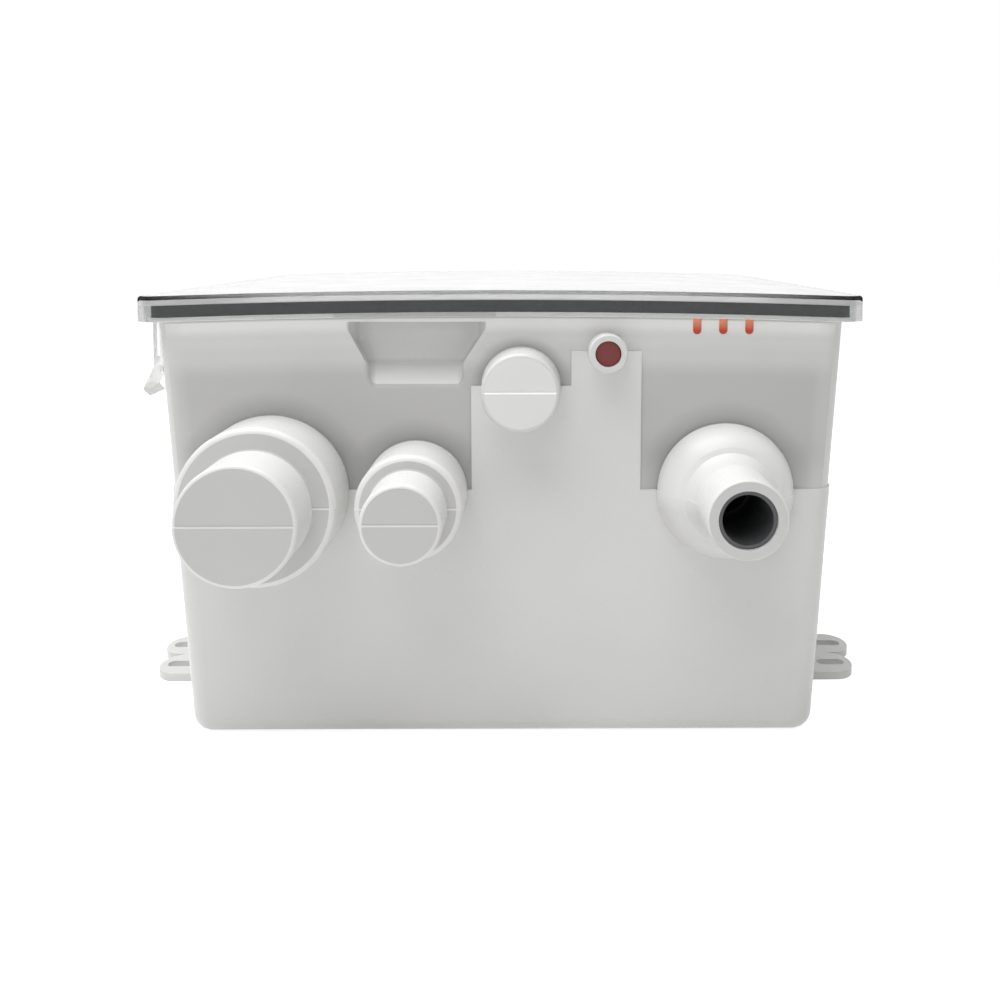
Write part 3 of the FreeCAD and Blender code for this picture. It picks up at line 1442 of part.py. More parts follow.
def commutator_bottom():
    return core_bottom() + core_height + winding_height + commutator_gap


def make_commutator():
    return slotted_drum(commutator_radius, commutator_bottom(), commutator_height,
                        commutator_slot_width, commutator_slot_depth)


def plate_bottom():
    return can_top - brush_plate_thickness


def make_brush_plate():
    """The motor's end plate, with the upper bearing seat and two brush boxes."""
    z0 = plate_bottom()
    hole = bearing_radius
    seat = hole + bearing_seat_wall
    plate = turned_up(pump_x, pump_y, [(hole, z0), (can_radius - can_wall, z0),
                                       (can_radius - can_wall, can_top), (seat, can_top),
                                       (seat, z0 + bearing_height), (hole, z0 + bearing_height)])
    half = brush_width / 2 + brush_box_wall
    parts = [plate]
    for side in (-1, 1):
        inner = side * (commutator_radius + brush_box_gap)
        outer = side * (commutator_radius + brush_gap + brush_length + brush_box_wall)
        parts.append(box(pump_x + min(inner, outer), pump_x + max(inner, outer), pump_y - half,
                         pump_y + half, commutator_bottom() + brush_rise - brush_box_wall,
                         z0 + rib_root))
    plate = joined(parts)
    for brush in brush_solids():
        plate = plate.cut(brush)
    return plate


def brush_solids():
    low = commutator_bottom() + brush_rise
    brushes = []
    for side in (-1, 1):
        inner = side * (commutator_radius + brush_gap)
        outer = side * (commutator_radius + brush_gap + brush_length)
        brushes.append(box(pump_x + min(inner, outer), pump_x + max(inner, outer),
                           pump_y - brush_width / 2, pump_y + brush_width / 2, low,
                           low + brush_height))
    return brushes


def bushing(z0, outer, height):
    return turned_up(pump_x, pump_y, [(shaft_radius + shaft_gap, z0), (outer, z0),
                                      (outer, z0 + height), (shaft_radius + shaft_gap, z0 + height)])


def make_shaft():
    low = impeller_top - impeller_height - nut_height
    return rod(Vector(pump_x, pump_y, low), Vector(0, 0, 1), shaft_radius,
               plate_bottom() + bearing_height + shaft_end - low)


def make_impeller():
    """Hub, back plate and curved vanes; the vanes hang below the plate towards the eye."""
    low = impeller_top - impeller_height
    plate = impeller_top - impeller_plate
    hub = turned_up(pump_x, pump_y, [(shaft_radius, low), (impeller_hub_radius - impeller_hub_taper, low),
                                     (impeller_hub_radius, plate), (impeller_radius, plate),
                                     (impeller_radius, impeller_top), (shaft_radius, impeller_top)],
                    [0, soft_edge, impeller_root_radius, 0, soft_edge, 0])
    reaches = [vane_start_radius, (vane_start_radius + impeller_radius) / 2,
               impeller_radius - vane_set_back]
    near, far = [], []
    for radius, turn in zip(reaches, (0, vane_turn * vane_turn_middle, vane_turn)):
        for side, extra in ((near, 0), (far, math.degrees(vane_thickness / radius))):
            angle = math.radians(turn + extra)
            side.append(Vector(pump_x + radius * math.cos(angle), pump_y + radius * math.sin(angle),
                               low + vane_lift))
    outline = Part.Wire([
        Part.Arc(*near).toShape(), Part.LineSegment(near[2], far[2]).toShape(),
        Part.Arc(far[2], far[1], far[0]).toShape(), Part.LineSegment(far[0], near[0]).toShape()])
    vane = Part.Face(outline).extrude(Vector(0, 0, impeller_height - impeller_plate))
    vanes = spread(vane, vane_count, Vector(pump_x, pump_y, 0), Vector(0, 0, 1))
    return joined([hub] + vanes)


def make_impeller_nut():
    low = impeller_top - impeller_height - nut_height
    corners = [Vector(pump_x + nut_radius * math.cos(math.radians(60 * index)),
                      pump_y + nut_radius * math.sin(math.radians(60 * index)), low)
               for index in range(6)]
    nut = rounded_face(corners, [0] * 6).extrude(Vector(0, 0, nut_height))
    return nut.cut(rod(Vector(pump_x, pump_y, low), Vector(0, 0, 1), shaft_radius, nut_height))


def switch_pivot():
    return Vector(switch_x - switch_length / 2 + switch_pivot_inset, switch_y,
                  base_bottom + switch_pivot_rise)


def make_switch_base():
    """A plate on two floor pads with a pair of pivot ears."""
    plate = rectangle_prism(switch_length / 2, switch_width / 2, switch_corner_radius, base_bottom,
                            base_bottom + switch_plate)
    plate.translate(Vector(switch_x, switch_y, 0))
    pivot = switch_pivot()
    parts = [plate]
    inner = float_width / 2 + switch_ear_gap
    low = base_bottom + switch_plate / 2
    for side in (-1, 1):
        y0 = switch_y + side * inner - (switch_ear_width if side < 0 else 0)
        outline = [(pivot.x - switch_ear_back, low), (pivot.x + switch_ear_front, low),
                   (pivot.x + switch_ear_radius, pivot.z), (pivot.x - switch_ear_radius, pivot.z)]
        parts.append(prism_xz(outline, y0, y0 + switch_ear_width))
        parts.append(rod(Vector(pivot.x, y0, pivot.z), Vector(0, 1, 0), switch_ear_radius,
                         switch_ear_width))
    whole = joined(parts).cut(make_switch_pin())
    for side in (-1, 1):
        place = Vector(switch_x + side * switch_screw_spacing / 2, switch_y, 0)
        whole = whole.cut(rod(place, Vector(0, 0, 1), screw_radius, tub_height))
    return whole


def make_switch_pin():
    pivot = switch_pivot()
    half = float_width / 2 + switch_ear_gap + switch_ear_width
    return rod(Vector(pivot.x, switch_y - half, pivot.z), Vector(0, 1, 0), switch_pin_radius, 2 * half)


def float_bottom():
    return base_bottom + switch_plate + screw_head_height + float_clear


def make_switch_float():
    """The hinged float, hollowed for the tilt capsule."""
    pivot = switch_pivot()
    low = float_bottom()
    start = pivot.x + float_start
    half = float_width / 2
    body = box(start, start + float_length, switch_y - half, switch_y + half, low, low + float_height)
    body = body.makeFillet(float_edge_radius, body.Edges)
    hub = rod(Vector(pivot.x, switch_y - half, pivot.z), Vector(0, 1, 0), switch_hub_radius, float_width)
    arm = prism_xz([(pivot.x, pivot.z - float_arm_half), (start + float_arm_reach, low + float_arm_inset),
                    (start + float_arm_reach, low + float_height - float_arm_inset),
                    (pivot.x, pivot.z + float_arm_half)], switch_y - half + over, switch_y + half - over)
    whole = joined([body, hub, arm])
    whole = whole.cut(rod(Vector(pivot.x, switch_y - float_width, pivot.z), Vector(0, 1, 0),
                          switch_pin_radius + switch_pin_gap, 2 * float_width))
    return whole.cut(rod(capsule_start() - Vector(capsule_gap, 0, 0), Vector(1, 0, 0),
                         capsule_radius + capsule_gap, capsule_length + 2 * capsule_gap))


def capsule_start():
    return Vector(switch_pivot().x + float_start + capsule_inset, switch_y,
                  float_bottom() + float_height / 2)


def make_switch_capsule():
    return rod(capsule_start(), Vector(1, 0, 0), capsule_radius, capsule_length)


def basket_span():
    """The basket's front and back faces, its inner left and right, and its top."""
    front = rim_front + basket_front
    return (front, front + basket_depth, basket_left + basket_wall, basket_right - basket_wall,
            basket_bottom + basket_height)


def windows(panel, low, high, y0, y1):
    """Windows through an upright panel, in a row between its bars."""
    pitch = (basket_right - basket_left - basket_bar) / basket_window_count
    for index in range(basket_window_count):
        x0 = basket_left + basket_bar + index * pitch
        panel = panel.cut(box(x0, x0 + pitch - basket_bar, y0 - over, y1 + over, low, high))
    return panel


def make_basket_floor():
    front, back, left, right, top = basket_span()
    panel = box(left, right, front, back, basket_bottom, basket_bottom + basket_wall)
    margin = basket_wall + basket_bar
    return windows(panel, basket_bottom - over, basket_bottom + basket_wall + over,
                   front + margin + over, back - margin - over)


def make_basket_front():
    """The low front sill, over which the water runs in."""
    front, back, left, right, top = basket_span()
    low = basket_bottom + basket_wall
    high = basket_bottom + basket_front_height
    panel = box(left, right, front, front + basket_wall, low, high)
    return windows(panel, low + basket_bar, high - basket_bar, front, front + basket_wall)


def make_basket_back():
    """The back panel: two rows of windows and the lifting handle."""
    front, back, left, right, top = basket_span()
    low = basket_bottom + basket_wall
    middle = (low + top) / 2
    panel = box(left, right, back - basket_wall, back, low, top)
    panel = windows(panel, low + basket_bar, middle - basket_bar / 2, back - basket_wall, back)
    panel = windows(panel, middle + basket_bar / 2, top - basket_top_bar, back - basket_wall, back)
    half = basket_handle_width / 2
    bar = basket_handle_bar
    loop = rectangle_prism(half, basket_handle_height, basket_handle_radius, 0, basket_wall)
    loop = loop.cut(rectangle_prism(half - bar, basket_handle_height - bar,
                                    basket_handle_radius - bar / 2, -over, basket_wall + over))
    loop.rotate(Vector(0, 0, 0), Vector(1, 0, 0), 90)
    centre = (basket_left + basket_right) / 2
    loop.translate(Vector(centre, back, top))
    above = box(centre - half, centre + half, back - basket_wall, back, top - basket_bar,
                top + basket_handle_height)
    return joined([panel, loop.common(above)])


def make_basket_ends():
    """The two end panels, each with the flange that slides in a rail of the tub."""
    front, back, left, right, top = basket_span()
    low = basket_bottom + basket_wall + basket_bar
    margin = basket_wall + basket_bar
    ends = []
    for side, edge in ((-1, basket_left), (1, basket_right)):
        inner = edge - side * basket_wall
        tip = edge + side * rail_lip
        panel = box(min(edge, inner), max(edge, inner), front, back, basket_bottom, top)
        flange = box(min(inner, tip), max(inner, tip), front, front + basket_wall, basket_bottom, top)
        window = box(min(edge, inner) - over, max(edge, inner) + over, front + margin, back - margin,
                     low, top - basket_top_bar)
        ends.append(joined([panel, flange]).cut(window))
    return Part.makeCompound(ends)


def make_mesh():
    """The folded strainer sheet that lines the frame's floor, ends, back and low front."""
    front, back, left, right, top = basket_span()
    front = front + basket_wall
    back = back - basket_wall
    low = basket_bottom + basket_wall
    top = top - mesh_drop
    sheet = box(left, right, front, back, low, top)
    inside = box(left + mesh_thickness, right - mesh_thickness, front + mesh_thickness,
                 back - mesh_thickness, low + mesh_thickness, top + over)
    front_gap = box(left - over, right + over, front - over, front + mesh_thickness,
                    basket_bottom + basket_front_height, top + over)
    return sheet.cut(inside).cut(front_gap)


def build():
    latch = make_latch()
    pump_clamp = pump_clamp_place()
    valve_clamp = valve_clamp_place()
    return {
        "tub": make_tub(),
        "rim_gasket": make_gasket(),
        "lid": make_lid(),
        "latch_front": mirrored(latch),
        "latch_rear": latch,
        "cable_plug": make_cable_plug(),
        "valve_keeper": make_keeper(),
        "valve_body": make_valve_body(),
        "valve_ring": make_valve_ring(),
        "valve_flap": make_valve_flap(),
        "valve_pin": flap_pin(),
        "discharge_hose": make_hose(hose_radius).cut(make_hose(hose_bore_radius, over)),
        "hose_clamp_pump": clamp_band(*pump_clamp),
        "hose_clamp_valve": clamp_band(*valve_clamp),
        "clamp_screws": Part.makeCompound([clamp_screw(*pump_clamp), clamp_screw(*valve_clamp)]),
        "strainer_base": make_strainer_base(),
        "pump_screws": floor_screws(pump_x, pump_y, pump_screw_spacing, base_bottom + base_floor),
        "volute_housing": make_volute(),
        "cartridge_shell": make_cartridge_shell(),
        "cartridge_cap": make_cartridge_cap(),
        "cartridge_ring": make_cartridge_ring(),
        "motor_can": make_motor_can(),
        "field_magnets": make_magnets(),
        "brush_plate": make_brush_plate(),
        "carbon_brushes": Part.makeCompound(brush_solids()),
        "lower_bearing": bushing(can_bottom, bearing_radius, bearing_height),
        "upper_bearing": bushing(plate_bottom(), bearing_radius, bearing_height),
        "shaft_seal": bushing(cartridge_bottom, seal_radius, seal_height),
        "motor_shaft": make_shaft(),
        "armature_core": make_armature(),
        "armature_windings": make_windings(),
        "commutator": make_commutator(),
        "impeller": make_impeller(),
        "impeller_nut": make_impeller_nut(),
        "switch_base": make_switch_base(),
        "switch_screws": floor_screws(switch_x, switch_y, switch_screw_spacing,
                                      base_bottom + switch_plate),
        "switch_float": make_switch_float(),
        "switch_pin": make_switch_pin(),
        "switch_capsule": make_switch_capsule(),
        "basket_floor": make_basket_floor(),
        "basket_front": make_basket_front(),
        "basket_back": make_basket_back(),
        "basket_ends": make_basket_ends(),
        "basket_mesh": make_mesh(),
    }


os.makedirs("parts", exist_ok=True)
for node, shape in build().items():
    shape.exportStep("parts/" + node + ".step")
    print(node, "solids", len(shape.Solids), "valid", shape.isValid(), "volume", round(shape.Volume, 1))
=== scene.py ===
import math
import bmesh
import bpy
from mathutils import Matrix, Vector


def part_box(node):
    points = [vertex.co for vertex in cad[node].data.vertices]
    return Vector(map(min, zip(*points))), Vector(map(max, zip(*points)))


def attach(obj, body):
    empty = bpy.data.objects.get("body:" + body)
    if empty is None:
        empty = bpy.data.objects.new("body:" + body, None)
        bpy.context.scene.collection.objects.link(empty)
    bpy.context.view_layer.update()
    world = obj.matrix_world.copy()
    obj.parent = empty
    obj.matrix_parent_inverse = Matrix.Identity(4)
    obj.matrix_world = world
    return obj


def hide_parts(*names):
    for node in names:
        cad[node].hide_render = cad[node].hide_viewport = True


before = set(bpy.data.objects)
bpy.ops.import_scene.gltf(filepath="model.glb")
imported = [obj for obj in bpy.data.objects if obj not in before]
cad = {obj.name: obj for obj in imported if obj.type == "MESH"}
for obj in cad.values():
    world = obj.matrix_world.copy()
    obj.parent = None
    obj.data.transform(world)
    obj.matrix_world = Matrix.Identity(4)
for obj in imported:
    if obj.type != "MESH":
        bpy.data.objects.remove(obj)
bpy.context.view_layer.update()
mm = 0.001
print("stage: frame loaded,", len(cad), "nodes")

# Camera, found from the photograph's own perspective
cameraSetup = {"place": (0.01125, -0.38743, 0.17562), "pitchDown": 3.0, "turnRight": 0.35,
               "sensor": 36.0, "lens": 31.68, "shiftX": -0.0394, "shiftY": -0.2135}


def makeCamera(setup):
    data = bpy.data.cameras.new("studioCamera")
    data.sensor_width = setup["sensor"]
    data.lens = setup["lens"]
    data.shift_x = setup["shiftX"]
    data.shift_y = setup["shiftY"]
    camera = bpy.data.objects.new("studioCamera", data)
    camera.location = setup["place"]
    camera.rotation_euler = (math.radians(90 - setup["pitchDown"]), 0, -math.radians(setup["turnRight"]))
    bpy.context.scene.collection.objects.link(camera)
    bpy.context.scene.camera = camera


makeCamera(cameraSetup)
bpy.context.scene.view_settings.view_transform = "Standard"


# Node helpers
def calc(tree, operation, *values):
    node = tree.nodes.new("ShaderNodeMath")
    node.operation = operation
    for index, value in enumerate(values):
        if isinstance(value, (int, float)):
            node.inputs[index].default_value = value
        else:
            tree.links.new(value, node.inputs[index])
    return node.outputs[0]


def times(tree, *values):
    product = values[0]
    for value in values[1:]:
        product = calc(tree, "MULTIPLY", product, value)
    return product


def largest(tree, *values):
    found = values[0]
    for value in values[1:]:
        found = calc(tree, "MAXIMUM", found, value)
    return found


def spreadTo(tree, value, low, high, start=0.3, end=0.7):
    # start to end of the pattern becomes low to high
    node = tree.nodes.new("ShaderNodeMapRange")
    node.inputs["From Min"].default_value = start
    node.inputs["From Max"].default_value = end
    node.inputs["To Min"].default_value = low
    node.inputs["To Max"].default_value = high
    tree.links.new(value, node.inputs["Value"])
    return node.outputs[0]


def twoTone(tree, amount, first, second):
    node = tree.nodes.new("ShaderNodeMix")
    node.data_type = "RGBA"
    tree.links.new(amount, node.inputs["Factor"])
    for socket, colour in (("A", first), ("B", second)):
        target = next(i for i in node.inputs if i.name == socket and i.type == "RGBA")
        if isinstance(colour, tuple):
            target.default_value = (*colour, 1)
        else:
            tree.links.new(colour, target)
    return next(o for o in node.outputs if o.type == "RGBA")


def scaled(tree, colour, factor):
    node = tree.nodes.new("ShaderNodeVectorMath")
    node.operation = "SCALE"
    tree.links.new(colour, node.inputs[0])
    tree.links.new(factor, node.inputs["Scale"])
    return node.outputs[0]


def matteShader(tree, colour):
    matte = tree.nodes.new("ShaderNodeBsdfDiffuse")
    if isinstance(colour, tuple):
        matte.inputs["Color"].default_value = (*colour, 1)
    else:
        tree.links.new(colour, matte.inputs["Color"])
    return matte.outputs[0]


def blendShaders(tree, share, first, second):
    mix = tree.nodes.new("ShaderNodeMixShader")
    for socket, source in zip(mix.inputs, (share, first, second)):
        tree.links.new(source, socket)
    return mix.outputs[0]


def objectPlace(tree):
    return tree.nodes.new("ShaderNodeTexCoord").outputs["Object"]


def objectAxes(tree, place):
    split = tree.nodes.new("ShaderNodeSeparateXYZ")
    tree.links.new(place, split.inputs[0])
    return split.outputs


def grain(tree, place, size, detail, roughness=0.5, stretch=(1, 1, 1)):
    # size is the pattern's pitch in millimetres
    mapping = tree.nodes.new("ShaderNodeMapping")
    mapping.inputs["Scale"].default_value = stretch
    tree.links.new(place, mapping.inputs["Vector"])
    noise = tree.nodes.new("ShaderNodeTexNoise")
    noise.inputs["Scale"].default_value = 1 / (size * mm)
    noise.inputs["Detail"].default_value = detail
    noise.inputs["Roughness"].default_value = roughness
    tree.links.new(mapping.outputs[0], noise.inputs["Vector"])
    return noise.outputs["Fac"]


def addBump(tree, shader, height, distance, strength=1.0, before=None):
    bump = tree.nodes.new("ShaderNodeBump")
    bump.inputs["Distance"].default_value = distance * mm
    bump.inputs["Strength"].default_value = strength
    tree.links.new(height, bump.inputs["Height"])
    if before is not None:
        tree.links.new(before, bump.inputs["Normal"])
    tree.links.new(bump.outputs[0], shader.inputs["Normal"])
    return bump.outputs[0]


def startMaterial(name):
    material = bpy.data.materials.new(name)
    material.use_nodes = True
    tree = material.node_tree
    tree.nodes.clear()
    shader = tree.nodes.new("ShaderNodeBsdfPrincipled")
    out = tree.nodes.new("ShaderNodeOutputMaterial")
    tree.links.new(shader.outputs[0], out.inputs["Surface"])
    return material, tree, shader


def dress(material, *nodeNames):
    for name in nodeNames:
        mesh = cad[name].data
        mesh.materials.clear()
        mesh.materials.append(material)


# Light: a broad overhead panel, a weak front panel, two small overhead lamps for the glints, a pale room
lightSetup = {
    "panels": {
        "overhead": {"place": (-0.22, -0.20, 0.95), "aim": (0, -0.05, 0.05), "width": 1.1, "depth": 0.8,
                     "watts": 9.5},
        "front": {"place": (-0.60, -1.20, 0.45), "aim": (0, 0, 0.08), "width": 0.8, "depth": 0.7,
                  "watts": 1.5},
        "leftGlint": {"place": (-0.42, -0.12, 0.95), "aim": (0.07, -0.1, 0.1), "width": 0.09, "depth": 0.09,
                      "watts": 0.5},
        "rightGlint": {"place": (0.58, -0.12, 0.95), "aim": (0.07, -0.1, 0.1), "width": 0.09, "depth": 0.09,
                       "watts": 0.5},
    },
    "room": 0.31, "roomColour": (1.0, 0.995, 0.985), "background": 1.0,
}
floorSetup = {"side": 6.0, "colour": (0.86, 0.86, 0.855), "glow": (0.75, 0.75, 0.75)}


def makePanel(name, panel):
    data = bpy.data.lights.new(name, "AREA")
    data.shape = "RECTANGLE"
    data.size = panel["width"]
    data.size_y = panel["depth"]
    data.energy = panel["watts"]
    light = bpy.data.objects.new(name, data)
    light.location = panel["place"]
    direction = Vector(panel["aim"]) - Vector(panel["place"])
    light.rotation_euler = direction.to_track_quat("-Z", "Y").to_euler()
    bpy.context.scene.collection.objects.link(light)


def seenDirectly(tree):
    # 1 where the camera, a mirror reflection or a view through clear plastic meets the surface
    path = tree.nodes.new("ShaderNodeLightPath").outputs
    return largest(tree, path["Is Camera Ray"], path["Is Glossy Ray"], path["Is Transmission Ray"])


def makeRoom(setup):
    world = bpy.data.worlds.new("paleRoom")
    bpy.context.scene.world = world
    world.use_nodes = True
    tree = world.node_tree
    tree.nodes.clear()
    glows = []
    for colour, strength in ((setup["roomColour"], setup["room"]), ((1, 1, 1), setup["background"])):
        glow = tree.nodes.new("ShaderNodeBackground")
        glow.inputs["Color"].default_value = (*colour, 1)
        glow.inputs["Strength"].default_value = strength
        glows.append(glow.outputs[0])
    out = tree.nodes.new("ShaderNodeOutputWorld")
    tree.links.new(blendShaders(tree, seenDirectly(tree), *glows), out.inputs[0])


def makeFloor(setup):
    side = setup["side"]
    mesh = bpy.data.meshes.new("studioFloor")
    mesh.from_pydata([(-side, -side, 0), (side, -side, 0), (side, side, 0), (-side, side, 0)], [],
                     [(0, 1, 2, 3)])
    floor = bpy.data.objects.new("studioFloor", mesh)
    bpy.context.scene.collection.objects.link(floor)
    material = bpy.data.materials.new("studioFloor")
    material.use_nodes = True
    tree = material.node_tree
    tree.nodes.clear()
    glow = tree.nodes.new("ShaderNodeEmission")
    tree.links.new(seenDirectly(tree), glow.inputs["Strength"])
    glow.inputs["Color"].default_value = (*setup["glow"], 1)
    add = tree.nodes.new("ShaderNodeAddShader")
    out = tree.nodes.new("ShaderNodeOutputMaterial")
    tree.links.new(matteShader(tree, setup["colour"]), add.inputs[0])
    tree.links.new(glow.outputs[0], add.inputs[1])
    tree.links.new(add.outputs[0], out.inputs[0])
    mesh.materials.append(material)


for panelName, panel in lightSetup["panels"].items():
    makePanel(panelName + "Panel", panel)
makeRoom(lightSetup)
makeFloor(floorSetup)
print("stage: camera and light ready")

# The tub's moulded white; above the parting ledge the flat front and the boss ends are duller, and painted
# shade greys them
tubFinishAndShade = {
    "colour": (0.715, 0.713, 0.702), "shade": (0.690, 0.689, 0.677), "gloss": (0.26, 0.40),
    "patch": 42, "grain": 0.55, "detail": 3, "wave": 0.10, "bump": 0.02, "bumpShare": 0.7,
    "plainGrain": 0.6, "dullGrain": 1.6, "dullGloss": 0.16,
    # heights of the parting ledge and of the rim, the rim's crown, and the front wall's place and slope
    "ledge": 89.5, "rim": 148.0, "crown": 2.1, "crownReach": 118.5, "frontFace": -89.0, "lean": 0.0402,
    "proud": 0.9, "flatEnd": 114.0, "flatFade": 6.0, "endLean": 0.0533,
    # from the ledge to the rim the flat front carries painted shade, then a painted highlight under the rim
    # and a painted shadow line at the rim: share of the height, tone
    "panelLightAndShade": ((0.0, 0.78), (0.2, 0.67), (0.35, 0.73), (0.5, 0.73), (0.64, 0.74), (0.78, 0.93),
                   (0.88, 1.05), (0.955, 1.30), (0.980, 1.30), (0.993, 0.74)),
    # the stepped-up area round the blank boss and the cable boss, and the painted light on it
    "blankLeft": -10.3, "blankRight": 24.0, "blankTop": 126.0, "cableRight": 48.0, "cableTop": 138.0,
    "stepPaintedLight": 1.06, "stepAhead": 1.5, "stepBehind": 2.2,
    # flat ends: x, z, radius, distance in front of the wall, tone of painted shade (above 1 it is painted
    # light)
    "ends": ((-79.0, 89.5, 17.8, 37.7, 0.83), (-29.3, 89.5, 11.5, 36.7, 0.83),
             (-79.0, 89.5, 24.4, 19.6, 0.83), (-29.3, 89.5, 15.6, 20.2, 0.83),
             (77.2, 89.5, 12.1, 32.6, 0.90), (6.8, 126.0, 11.7, 15.0, 1.14)),
    # how far the flat ends reach front to back, the parting ridge's half width, its painted highlight and the
    # painted shadow line over it
    "endDepth": 0.6, "ridge": 0.28, "ridgeTone": 1.3, "ridgeShadowTone": 0.80,
    # roots of the bosses, where painted shade darkens the panel: x, z, radius, reach
    "roots": ((-79.0, 89.5, 26.3, 8.0), (-29.3, 89.5, 17.5, 8.0), (6.8, 126.0, 13.9, 3.5),
              (77.2, 89.5, 23.4, 8.0)),
    "rootShade": 0.74,
    # painted light on the outlet's upper half and on the sides of the stepped ports: x, z, radius
    "paintedLight": 1.13, "litFrom": 84.0, "litTo": 90.0, "litAhead": 0.4,
    "outlet": (77.2, 89.5, 24.0), "sides": ((-79.0, 89.5, 27.6), (-29.3, 89.5, 18.6)),
}

# The finger recess: painted shade greys its back, a painted shadow line marks where its floor starts, and
# painted shade darkens the flange over it
recessShading = {"left": -58.0, "right": 0.5, "bottom": 124.0, "front": -85.0, "deep": -78.0, "backShade": 0.92,
                "line": 133.4, "lineReach": 1.6, "shadowLineTone": 0.86,
                "flangeLeft": -56.0, "flangeRight": -1.5, "flangeShade": 0.74}


def between(tree, value, low, high):
    return times(tree, calc(tree, "GREATER_THAN", value, low * mm), calc(tree, "LESS_THAN", value, high * mm))


def toneOn(tree, mask, tone):
    # the tone on the mask, and 1 off it
    return calc(tree, "ADD", calc(tree, "MULTIPLY", mask, tone - 1), 1.0)


def fromAxis(tree, axes, centre):
    # distance from a front-to-back axis
    across = calc(tree, "SUBTRACT", axes[0], centre[0] * mm)
    up = calc(tree, "SUBTRACT", axes[2], centre[1] * mm)
    return calc(tree, "SQRT", calc(tree, "ADD", times(tree, across, across), times(tree, up, up)))


def inside(tree, axes, disc):
    return calc(tree, "LESS_THAN", fromAxis(tree, axes, disc), disc[2] * mm)


def panelMask(tree, axes, finish):
    # 1 on the flat front wall above the stepped parting line, 0 on bosses, corners and the other sides
    x, y, z = axes
    mask = calc(tree, "GREATER_THAN", z, finish["ledge"] * mm)
    steps = (("blankLeft", "blankRight", "blankTop"), ("blankRight", "cableRight", "cableTop"))
    for left, right, top in steps:
        across = between(tree, x, finish[left], finish[right])
        under = calc(tree, "LESS_THAN", z, finish[top] * mm)
        mask = calc(tree, "SUBTRACT", mask, times(tree, across, under))
    drop = calc(tree, "SUBTRACT", finish["rim"] * mm, z)
    wall = calc(tree, "ADD", finish["frontFace"] * mm, calc(tree, "MULTIPLY", drop, finish["lean"]))
    off = calc(tree, "ABSOLUTE", calc(tree, "SUBTRACT", y, wall))
    onWall = calc(tree, "LESS_THAN", off, finish["proud"] * mm)
    end = calc(tree, "SUBTRACT", finish["flatEnd"] * mm, calc(tree, "MULTIPLY", drop, finish["endLean"]))
    fade = finish["flatFade"] * mm
    flat = spreadTo(tree, calc(tree, "SUBTRACT", calc(tree, "ABSOLUTE", x), end), 1, 0, -fade, fade)
    return times(tree, calc(tree, "MAXIMUM", mask, 0.0), onWall, flat)


def flatEnds(tree, axes, finish):
    # 1 on the flat ends of the ports and of the blank boss, and the painted shade on each of them, with
    # painted light on the blank boss's end
    found = []
    tones = []
    for disc in finish["ends"]:
        face = finish["frontFace"] - disc[3]
        near = between(tree, axes[1], face - finish["endDepth"], face + finish["endDepth"])
        found.append(times(tree, near, inside(tree, axes, disc)))
        tones.append(toneOn(tree, found[-1], disc[4]))
    return largest(tree, *found), times(tree, *tones)


def partingHighlightAndShadow(tree, axes, finish):
    # a painted highlight on the parting ridge with a painted shadow line over it, across the closed ends at
    # the mould's parting heights
    changes = []
    for height in sorted({disc[1] for disc in finish["ends"]}):
        gap = calc(tree, "SUBTRACT", axes[2], height * mm)
        light = between(tree, gap, -finish["ridge"], finish["ridge"])
        dark = between(tree, gap, finish["ridge"], 2 * finish["ridge"])
        changes.append(calc(tree, "ADD", calc(tree, "MULTIPLY", light, finish["ridgeTone"] - 1),
                            calc(tree, "MULTIPLY", dark, finish["ridgeShadowTone"] - 1)))
    closed = calc(tree, "LESS_THAN", axes[0], finish["cableRight"] * mm)
    return calc(tree, "ADD", times(tree, calc(tree, "ADD", *changes), closed), 1.0)


def rootShade(tree, axes, finish):
    # painted shade on the panel round the roots of the bosses
    tones = []
    for disc in finish["roots"]:
        start, end = disc[2] * mm, (disc[2] + disc[3]) * mm
        tones.append(spreadTo(tree, fromAxis(tree, axes, disc), finish["rootShade"], 1, start, end))
    return times(tree, *tones)


def stepPaintedLight(tree, axes, panel, finish):
    # painted light: the stepped-up area grows a little lighter with height
    across = between(tree, axes[0], finish["blankLeft"], finish["cableRight"])
    near = between(tree, axes[1], finish["frontFace"] - finish["stepAhead"],
                   finish["frontFace"] + finish["stepBehind"])
    change = spreadTo(tree, axes[2], 0, finish["stepPaintedLight"] - 1, finish["ledge"] * mm, finish["blankTop"] * mm)
    return calc(tree, "ADD", times(tree, across, near, calc(tree, "SUBTRACT", 1.0, panel), change), 1.0)


def paintedLightMask(tree, axes, finish):
    # painted light: 1 on the outlet's upper half and on the sides of the stepped ports, ahead of the wall
    ahead = calc(tree, "LESS_THAN", axes[1], (finish["frontFace"] + finish["litAhead"]) * mm)
    upper = spreadTo(tree, axes[2], 0, 1, finish["litFrom"] * mm, finish["litTo"] * mm)
    outlet = times(tree, inside(tree, axes, finish["outlet"]), upper)
    return times(tree, ahead, largest(tree, outlet, *[inside(tree, axes, disc) for disc in finish["sides"]]))


